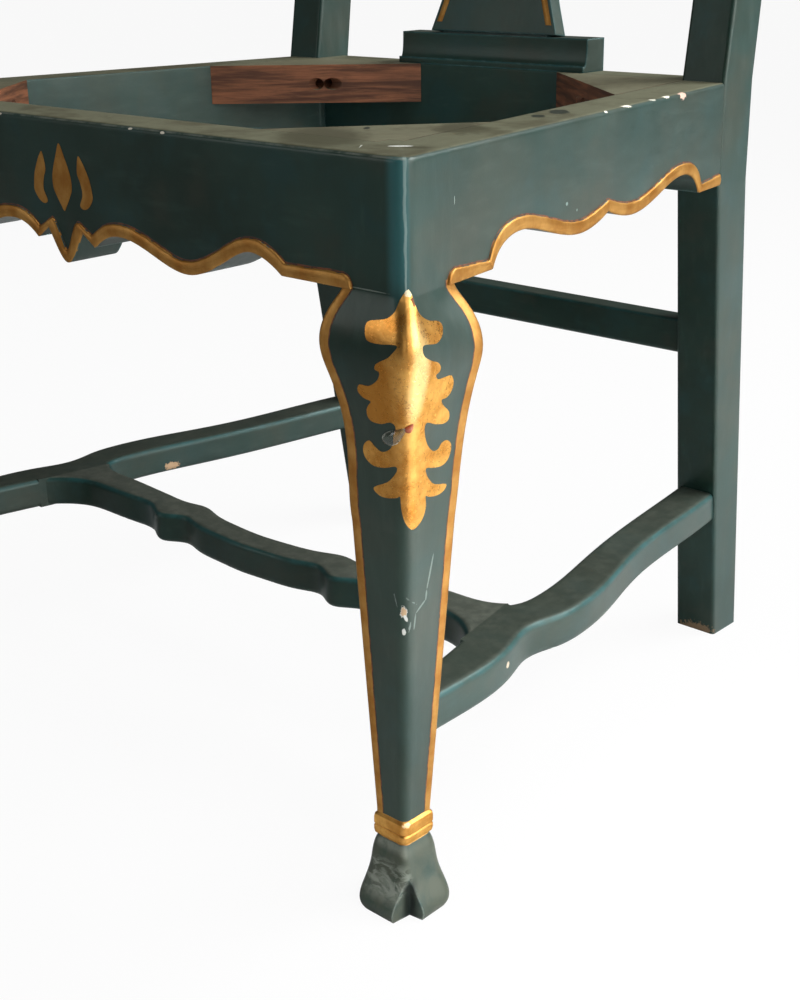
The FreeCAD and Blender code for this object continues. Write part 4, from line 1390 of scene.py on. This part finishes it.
@dataclass
class FrontLegs:
    """Front legs with gilt edges, the gilt leaf on the knee and a run of varnish."""

    nodes: Nodes
    gold: bpy.types.Material
    bole: bpy.types.Material
    leaf_lift: float = 0.00014
    leaf_mesh: float = 0.0018
    band_lift: float = 0.00010
    band_rise: float = 0.00050
    band_above: float = 0.0030
    band_clear: float = 0.0004
    band_top: float = 0.0076
    band_foot: float = 0.0052
    band_wrap: float = 0.0022
    band_rows: int = 190
    band_steps: int = 10
    line_lift: float = 0.00009
    line_past: tuple[float, ...] = (-0.0004, 0.0003, 0.0008)
    lean: float = 0.0075
    core: float = 0.024
    skin: float = 0.004
    probe: float = 0.2
    drop_lift: float = 0.00012
    run: Drop = Drop("varnish_run", -0.0066, 0.2978, 0.0075, 0.0034, 0.77, 0.0026)
    run_ends: tuple[Pair, Pair] = ((-0.0120, 0.2925), (-0.0012, 0.3030))
    run_rim: float = 0.0036
    bead: Drop = Drop("varnish_bead", 0.0006, 0.3030, 0.0030, 0.0019, 0.9, 0.0009)
    leaf_tip: Pair = (0.0009, 0.3755)
    leaf_tail: Pair = (0.0014, 0.2433)
    leaf_left: tuple[Pair, ...] = (
        (-0.0033, 0.3702), (-0.0059, 0.3644), (-0.0097, 0.3606), (-0.0141, 0.3590), (-0.0187, 0.3576),
        (-0.0206, 0.3550), (-0.0209, 0.3505), (-0.0194, 0.3477), (-0.0136, 0.3475), (-0.0072, 0.3487),
        (-0.0053, 0.3480), (-0.0073, 0.3449), (-0.0102, 0.3413), (-0.0138, 0.3387), (-0.0162, 0.3363),
        (-0.0165, 0.3338), (-0.0146, 0.3329), (-0.0144, 0.3307), (-0.0160, 0.3270), (-0.0198, 0.3234),
        (-0.0244, 0.3230), (-0.0253, 0.3190), (-0.0225, 0.3157), (-0.0188, 0.3146), (-0.0200, 0.3119),
        (-0.0209, 0.3088), (-0.0204, 0.3050), (-0.0181, 0.3027), (-0.0134, 0.3028), (-0.0092, 0.3050),
        (-0.0066, 0.3034), (-0.0070, 0.2975), (-0.0083, 0.2912), (-0.0107, 0.2878), (-0.0139, 0.2863),
        (-0.0170, 0.2884), (-0.0198, 0.2910), (-0.0225, 0.2880), (-0.0231, 0.2835), (-0.0214, 0.2793),
        (-0.0177, 0.2767), (-0.0121, 0.2774), (-0.0070, 0.2798), (-0.0058, 0.2782), (-0.0075, 0.2743),
        (-0.0110, 0.2694), (-0.0179, 0.2642), (-0.0159, 0.2608), (-0.0118, 0.2601), (-0.0064, 0.2618),
        (-0.0045, 0.2628), (-0.0040, 0.2561), (-0.0023, 0.2485),
    )
    leaf_right: tuple[Pair, ...] = (
        (0.0041, 0.3674), (0.0066, 0.3622), (0.0109, 0.3584), (0.0159, 0.3568), (0.0183, 0.3539),
        (0.0179, 0.3494), (0.0150, 0.3467), (0.0114, 0.3471), (0.0080, 0.3476), (0.0073, 0.3453),
        (0.0086, 0.3416), (0.0122, 0.3386), (0.0156, 0.3366), (0.0170, 0.3336), (0.0162, 0.3312),
        (0.0145, 0.3299), (0.0157, 0.3272), (0.0197, 0.3273), (0.0230, 0.3269), (0.0243, 0.3227),
        (0.0233, 0.3177), (0.0207, 0.3146), (0.0178, 0.3141), (0.0189, 0.3104), (0.0220, 0.3057),
        (0.0221, 0.3012), (0.0195, 0.2994), (0.0144, 0.3008), (0.0102, 0.3034), (0.0087, 0.3015),
        (0.0088, 0.2964), (0.0102, 0.2901), (0.0132, 0.2853), (0.0162, 0.2853), (0.0181, 0.2881),
        (0.0211, 0.2887), (0.0235, 0.2857), (0.0235, 0.2811), (0.0216, 0.2765), (0.0182, 0.2744),
        (0.0132, 0.2752), (0.0099, 0.2765), (0.0093, 0.2745), (0.0110, 0.2695), (0.0144, 0.2650),
        (0.0209, 0.2624), (0.0197, 0.2591), (0.0159, 0.2578), (0.0113, 0.2588), (0.0092, 0.2601),
        (0.0094, 0.2545), (0.0079, 0.2486), (0.0051, 0.2449),
    )
    chips: tuple[Spot, ...] = (
        Spot((0.2675, -0.2500, 0.1940), (0.0021, 0.0021, 0.0034), CHALK, ragged=1.6),
        Spot((0.2675, -0.2500, 0.1941), (0.0017, 0.0017, 0.0028), TAN, ragged=1.2),
        Spot.line((0.2676, -0.2498, 0.1925), (0.2686, -0.2483, 0.1879), 0.0010, CHALK),
        Spot((0.2670, -0.2495, 0.1819), (0.0011, 0.0011, 0.0024), CHALK, ragged=0.6),
        Spot.line((0.2718, -0.2297, 0.2245), (0.2706, -0.2346, 0.2030), 0.0007, GREY),
        Spot.line((0.2706, -0.2346, 0.2032), (0.2703, -0.2351, 0.1971), 0.0007, GREY),
        Spot.line((0.2703, -0.2351, 0.1975), (0.2700, -0.2430, 0.1918), 0.0007, GREY),
        Spot.line((0.2700, -0.2430, 0.1920), (0.2695, -0.2441, 0.1819), 0.0006, GREY),
        Spot.line((0.2621, -0.2518, 0.2046), (0.2641, -0.2513, 0.1961), 0.0005, GREY, 1.4),
        Spot.line((0.2687, -0.2495, 0.2030), (0.2703, -0.2433, 0.1976), 0.0006, GREY, 1.4),
        Spot.line((0.2692, -0.2464, 0.1870), (0.2688, -0.2474, 0.1815), 0.0006, GREY, 1.4),
        Spot((0.2516, -0.2298, SEAT_TOP), (0.0068, 0.0017, 0.0020), CHALK, (0.0, 0.0, 0.65), 0.4),
        Spot.line((0.2400, -0.2480, SEAT_TOP), (0.2190, -0.2203, SEAT_TOP), 0.0006, (0.36, 0.37, 0.32)),
        Spot((0.2191, -0.2203, SEAT_TOP), (0.0012, 0.0012, 0.0020), CHALK),
        Spot.line((0.2380, FRONT_Y, UNDERSIDE + 0.0012), (0.2700, FRONT_Y, UNDERSIDE + 0.0012), 0.0004,
                  (0.13, 0.16, 0.14)),
    )
    ring_chip: Spot = Spot((0.2637, -0.2457, 0.0546), (0.0030, 0.0030, 0.0014), (0.75, 0.55, 0.32))
    pits: Spot = Spot((0.2795, -0.2625, 0.3200), (0.0060, 0.0060, 0.0260))
    # Painted shade on the left half of the right knee's leaf
    left_shade: Spot = Spot((0.2580, -0.2660, 0.3220), (0.0215, 0.0200, 0.0560), (0.36, 0.140, 0.022))
    # Painted highlight right of the leaf's ridge
    painted_highlight: Spot = Spot((0.2855, -0.2550, 0.3290), (0.0120, 0.0085, 0.0420), (0.92, 0.66, 0.29))

    def build(self) -> None:
        """Dress the legs and add their gilding and the varnish."""
        self._dress()
        tree = tree_of(self.nodes["front_leg_right"])
        bands = {face: self._band_rows(tree, face) for face in Face}
        outline = [self.leaf_tip, *self.leaf_right, self.leaf_tail, *reversed(self.leaf_left)]
        flat, faces = filled(rounded(outline, 3), self.leaf_mesh)
        leaf = [self._on_knee(tree, u, v, self.leaf_lift) for u, v in flat]
        leaf_gold = self._leaf_gold(tree).build("gold_leaf")
        for side in Side:
            for face, (gilt, clay) in bands.items():
                where = f"{face.value}_{side.word}"
                make_ribbon("leg_band_" + where, [on_side(row, side) for row in gilt], self.gold)
                make_ribbon("leg_line_" + where, [on_side(row, side) for row in clay], self.bole)
            make_piece("knee_leaf_" + side.word, on_side(leaf, side), faces, leaf_gold)
        ends = (tuple(self._on_knee(tree, u, z, self.run.rise)) for u, z in self.run_ends)
        # Pale rim of the run: painted reflection
        rim = Spot.line(*ends, self.run_rim, (0.74, 0.77, 0.68))
        self._drop(tree, self.run, Varnish(rim=rim).build("varnish"))
        self._drop(tree, self.bead, Varnish((0.36, 0.065, 0.014), 0.15).build("varnish_red"))

    def _dress(self) -> None:
        """Give the legs their finishes, with the marks of the right one."""
        for side in Side:
            joints = (front_joint(side), side_joint(side))
            finish = Lacquer(Axis.Z, joints=joints, leg=True, rail_top=True)
            if side is Side.RIGHT:
                ring = Gold(0.35, chips=(self.ring_chip,))
                finish = Lacquer(Axis.Z, self.chips, SEAT_MARKS, joints, leg=True, rail_top=True, ring=ring)
            lacquer(self.nodes, {"front_leg_" + side.word: finish})

    def _leaf_gold(self, tree: BVHTree) -> Gold:
        """Return the gilding of the leaf.

        Args:
            tree: Faces of the right leg.

        Returns:
            The finish, with the chips at the leaf's tip.
        """
        below, tip = (tuple(self._on_knee(tree, u, z, 0.0)) for u, z in ((0.0036, 0.3690), (0.0012, 0.3742)))
        chips = (Spot(below, (0.0016, 0.0016, 0.0026), (0.16, 0.05, 0.02)),
                 Spot(tip, (0.0030, 0.0030, 0.0024), (0.80, 0.70, 0.48)))
        return Gold(0.42, self.pits, chips, self.left_shade, self.painted_highlight, rough=0.29, grit=0.00008)

    def _on_knee(self, tree: BVHTree, u: float, z: float, lift: float) -> Vector:
        """Return a point over the right leg.

        Args:
            tree: Faces of the leg.
            u: Distance across the ridge, to the right.
            z: Height.
            lift: Distance from the surface.

        Returns:
            The point in the chair's frame.
        """
        across = Vector((1, 1, 0)).normalized()
        inward = Vector((-1, 1, 0)).normalized()
        start = Vector((HALF_FRONT, FRONT_Y, z)) + across * u - inward * 0.1
        hit, normal, _, _ = tree.ray_cast(start, inward)
        if hit is None:
            raise ValueError(f"the leaf misses the leg at {u}, {z}")
        return hit + normal * lift

    def _band_rows(self, tree: BVHTree, face: Face) -> tuple[Rows, Rows]:
        """Return rows of points of one gilt edge and of the clay line beside it.

        Args:
            tree: Faces of the right leg.
            face: Face that the edge is on.

        Returns:
            Rows of the gilding, and rows of the line.
        """
        front = face is Face.FRONT
        inward, across = (Vector((0, 1, 0)), Vector((1, 0, 0)))
        if not front:
            inward, across = (Vector((-1, 0, 0)), Vector((0, -1, 0)))
        gilt, clay = [], []
        top, low = UNDERSIDE + self.band_above, ANKLE + self.band_clear
        for i in range(self.band_rows + 1):
            z = top + (low - top) * i / self.band_rows
            width = self.band_top + (self.band_foot - self.band_top) * i / self.band_rows
            width = width + WAVER * unsteady(z, float(front))
            corner = self._corner(tree, z, inward, across)
            wrap = 0.0 if z > UNDERSIDE else self.band_wrap
            row = []
            for j in range(self.band_steps + 1):
                t = -wrap + (width + wrap) * j / self.band_steps
                rise = self.band_lift + self.band_rise * math.sin(math.pi * j / self.band_steps) ** 0.8
                row.append(near(tree, corner + across * max(t, 0.0) + inward * max(-t, 0.0), rise))
            gilt.append(row)
            clay.append([near(tree, corner + across * (width + past), self.line_lift)
                         for past in self.line_past])
        return gilt, clay

    def _corner(self, tree: BVHTree, z: float, inward: Vector, across: Vector) -> Vector:
        """Return the inner corner of one face of the right leg.

        Args:
            tree: Faces of the leg.
            z: Height.
            inward: Way into the face.
            across: Way over the face, away from its inner corner.

        Returns:
            The corner, as if the two faces met sharply.
        """
        lean = self.lean * max(0.0, UNDERSIDE - z) / UNDERSIDE
        middle = Vector((HALF_FRONT - self.core - lean, FRONT_Y + self.core, z))
        face = tree.ray_cast(middle - inward * self.probe, inward)[0]
        beside = middle - across * self.probe
        if inward.y:
            edge = tree.ray_cast(Vector((beside.x, face.y + self.skin, z)), across)[0]
            return Vector((edge.x, face.y, z))
        edge = tree.ray_cast(Vector((face.x - self.skin, beside.y, z)), across)[0]
        return Vector((face.x, edge.y, z))

    def _drop(self, tree: BVHTree, drop: Drop, finish: bpy.types.Material) -> None:
        """Add one drop of varnish, thin at one end.

        Args:
            tree: Faces of the right leg.
            drop: The drop.
            finish: Its material.
        """
        rings, around = 8, 32
        points = []
        for i in range(rings + 1):
            share = math.sin(math.pi / 2 * i / rings)
            for j in range(around):
                angle = 2 * math.pi * j / around
                along = drop.wide * share * math.cos(angle)
                beside = drop.tall * share * math.sin(angle) * (1.0 - 0.55 * math.cos(angle))
                du = along * math.cos(drop.tilt) - beside * math.sin(drop.tilt)
                dv = along * math.sin(drop.tilt) + beside * math.cos(drop.tilt)
                thin = 1.0 - 0.35 * share * math.cos(angle)
                lift = drop.rise * math.cos(math.pi / 2 * i / rings) * thin + self.drop_lift
                points.append(self._on_knee(tree, drop.u + du, drop.z + dv, lift))
        pairs = [(i * around + j, i * around + (j + 1) % around) for i in range(rings) for j in range(around)]
        make_piece(drop.name, points, [(a, b, b + around, a + around) for a, b in pairs], finish)


@dataclass
class Stretchers:
    """The flat bars between the legs, which have no trim."""

    nodes: Nodes
    chips: tuple[Spot, Spot] = (
        Spot((0.2556, -0.1435, 0.1171), (0.0018, 0.0022, 0.0022), (0.50, 0.42, 0.32), ragged=1.4),
        Spot((-0.2114, -0.0260, 0.1090), (0.0030, 0.0090, 0.0036), (0.50, 0.33, 0.20), ragged=1.1),
    )
    # Dust on the cross stretcher, made paler as painted light where the seat shades it
    cross_dust_and_light: Color = (0.094, 0.101, 0.082)

    def build(self) -> None:
        """Give the bars their finishes."""
        joints = tuple(cross_joint(side) for side in Side)
        finishes = {
            # The cross stretcher's paler, denser dust is partly painted light
            "cross_stretcher": Lacquer(Axis.X, joints=joints, dusty=0.90, ease=0.0036, teal_edge_highlight=0.45,
                                       film=self.cross_dust_and_light),
            "rear_stretcher": Lacquer(Axis.X, dusty=0.40, ease=0.0036, teal_edge_highlight=0.4),
        }
        for side, chip, joint in zip(Side, self.chips, joints):
            finishes["side_stretcher_" + side.word] = Lacquer(Axis.Y, (chip,), joints=(joint,), dusty=0.70,
                                                              ease=0.0042, teal_edge_highlight=0.6)
        lacquer(self.nodes, finishes)


@dataclass
class Back:
    """Rear posts, crest rail, splat and shoe, with thin gilt lines."""

    nodes: Nodes
    gold: bpy.types.Material
    crest_reach: Pair = (-0.180, 0.180)
    splat_reach: Pair = (0.034, 0.590)
    splat_behind: float = 0.008
    splat_inset: float = 0.0025
    line_width: float = 0.0055
    line_rise: float = 0.0004
    line_lift: float = 0.00008
    line_rows: int = 220
    line_steps: int = 5

    def build(self) -> None:
        """Dress the CAD nodes and add the gilt lines."""
        self._dress()
        up = Vector((0, math.sin(BACK_LEAN), math.cos(BACK_LEAN)))
        out = Vector((0, -math.cos(BACK_LEAN), math.sin(BACK_LEAN)))
        base = Vector((0, FRONT_Y + SEAT_RUN, SEAT_TOP))
        crest = Plane(base, Vector((1, 0, 0)), up, out)
        span = crest.spans(self.nodes["crest_rail"], 0.0)
        self._line("crest_line", crest, span, self.crest_reach, 0.0, Edge.LOW)
        splat = Plane(base - out * self.splat_behind, up, Vector((1, 0, 0)), out)
        span = splat.spans(self.nodes["back_splat"], 0.0)
        self._line("splat_line_left", splat, span, self.splat_reach, self.splat_inset, Edge.LOW)
        self._line("splat_line_right", splat, span, self.splat_reach, self.splat_inset, Edge.HIGH)

    def _dress(self) -> None:
        """Give the CAD nodes their finishes."""
        finishes = {
            "crest_rail": Lacquer(Axis.X),
            "back_splat": Lacquer(Axis.Z),
            "splat_shoe": Lacquer(Axis.X),
        }
        for side in Side:
            worn = Spot((side.value * 0.1900, 0.1875, 0.0010), (0.0160, 0.0060, 0.0060), (0.22, 0.15, 0.09),
                        ragged=1.8)
            finishes["rear_post_" + side.word] = Lacquer(Axis.Z, (worn,), joints=(rear_joint(),))
        lacquer(self.nodes, finishes)

    def _line(self, name: str, plane: Plane, span: Span, ends: Pair, inset: float, edge: Edge) -> None:
        """Add one gilt line inside an edge of a flat face.

        Args:
            name: Name of the line.
            plane: The face.
            span: Function that gives the face's edges.
            ends: Where the line starts and ends along the plane.
            inset: Distance of the line from the edge.
            edge: The edge.
        """
        rows = []
        for i in range(self.line_rows + 1):
            u = ends[0] + (ends[1] - ends[0]) * i / self.line_rows
            found = span(u)
            if found is None:
                continue
            start = found[0] if edge is Edge.LOW else found[1]
            row = []
            for j in range(self.line_steps + 1):
                t = j / self.line_steps
                rise = self.line_rise * math.sin(math.pi * t) + self.line_lift
                row.append(plane.point(u, start + edge.value * (inset + self.line_width * t), rise))
            rows.append(row)
        make_ribbon(name, rows, self.gold)


# Studio


@dataclass(frozen=True)
class Lamp:
    """A square soft box.

    Args:
        name: Name of the lamp.
        place: Where it stands.
        aim: Point that it faces.
        size: Width and height.
        power: Watts.
        color: Tint of the light.
        spread: Opening of its grid, in degrees.
    """

    name: str
    place: Triple
    aim: Triple
    size: float
    power: float
    color: Color = (1.0, 1.0, 0.98)
    spread: float = 180.0

    def build(self) -> None:
        """Add the lamp to the scene."""
        data = bpy.data.lights.new(self.name, "AREA")
        data.shape = "SQUARE"
        data.size = self.size
        data.energy = self.power
        data.spread = math.radians(self.spread)
        data.color = self.color
        lamp = bpy.data.objects.new(self.name, data)
        lamp.location = self.place
        lamp.rotation_euler = (Vector(self.aim) - Vector(self.place)).to_track_quat("-Z", "Y").to_euler()
        bpy.context.scene.collection.objects.link(lamp)


@dataclass
class Studio:
    """Floor, lights and camera."""

    place: Triple = (0.77507, -0.79760, 0.54252)
    yaw: float = 42.91
    pitch: float = 20.76
    roll: float = -0.91
    lens: float = 54.33
    sensor: float = 36.0
    room: float = 0.03
    reach: float = 12.0
    lamps: tuple[Lamp, ...] = (
        Lamp("side", (2.3, 0.55, 1.05), (0.2, -0.1, 0.32), 1.7, 53.0, (1.0, 0.99, 0.97)),
        Lamp("sweep", (1.15, 1.35, 1.7), (0.75, 0.85, 0.0), 1.1, 62.0, (0.98, 1.0, 1.0)),
        Lamp("front_sweep", (1.30, -0.40, 1.0), (0.75, -0.14, 0.0), 0.4, 3.4, spread=36.0),
        Lamp("ridge_sweep", (1.15, -0.35, 0.9), (0.62, -0.03, 0.0), 0.15, 1.0, spread=18.0),
        Lamp("strip", (1.95, -0.85, 0.85), (0.28, -0.26, 0.33), 1.5, 12.0),
        Lamp("front_glow", (1.14, -2.30, 0.62), (0.284, -0.264, 0.345), 1.0, 2.2),
        Lamp("top", (0.30, -0.25, 2.3), (0.1, -0.1, 0.3), 1.2, 16.5, WHITE),
        Lamp("glint", (-1.45, -2.0, 0.86), (0.245, -0.262, 0.359), 0.7, 0.60, (1.0, 0.99, 0.97), 60.0),
    )

    def build(self) -> None:
        """Add floor, world, lights and camera."""
        self._floor()
        self._world()
        for lamp in self.lamps:
            lamp.build()
        self._camera()

    def _floor(self) -> None:
        """Add the pale floor."""
        data = bpy.data.meshes.new("floor")
        corners = [(x * self.reach, y * self.reach, 0) for x, y in ((-1, -1), (1, -1), (1, 1), (-1, 1))]
        data.from_pydata(corners, [], [(0, 1, 2, 3)])
        data.materials.append(Paper().build("paper"))
        floor = bpy.data.objects.new("floor", data)
        bpy.context.scene.collection.objects.link(floor)

    def _world(self) -> None:
        """Set a white backdrop for the camera and a dim room for the light."""
        world = bpy.data.worlds.new("studio")
        bpy.context.scene.world = world
        graph = Graph(world)
        strength = self.room + graph.seen_white() * (1.0 - self.room)
        backdrop = graph.node("ShaderNodeBackground", None, {"Color": WHITE, "Strength": strength})
        graph.close(backdrop, "ShaderNodeOutputWorld")

    def _camera(self) -> None:
        """Add the camera at the photo's viewpoint."""
        yaw, pitch, roll = (math.radians(angle) for angle in (self.yaw, self.pitch, self.roll))
        run = math.cos(pitch)
        forward = Vector((-math.sin(yaw) * run, math.cos(yaw) * run, -math.sin(pitch)))
        level = Vector((math.cos(yaw), math.sin(yaw), 0))
        upright = level.cross(forward)
        right = level * math.cos(roll) + upright * math.sin(roll)
        up = upright * math.cos(roll) - level * math.sin(roll)
        data = bpy.data.cameras.new("camera")
        data.lens = self.lens
        data.sensor_width = self.sensor
        data.clip_start = 0.02
        camera = bpy.data.objects.new("camera", data)
        turn = Matrix((right, up, -forward)).transposed().to_4x4()
        camera.matrix_world = Matrix.Translation(self.place) @ turn
        bpy.context.scene.collection.objects.link(camera)
        bpy.context.scene.camera = camera


def main() -> None:
    """Build the chair's looks in order."""
    logging.basicConfig(level=logging.INFO)
    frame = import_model()
    nodes = frame["nodes"]
    gilding = Gold(0.5, bright=(0.46, 0.245, 0.068), deep=(0.30, 0.126, 0.024), rough=0.44, metal=0.66)
    gold = gilding.build("gold")
    bole = Bole().build("bole")
    parts = (SeatFrame(nodes, gold, bole), FrontLegs(nodes, gold, bole), Stretchers(nodes), Back(nodes, gold))
    for part in parts:
        part.build()
        LOG.info("built %s", type(part).__name__)
    Studio().build()
    bpy.context.scene.view_settings.view_transform = "Standard"


if __name__ == "__main__":
    main()
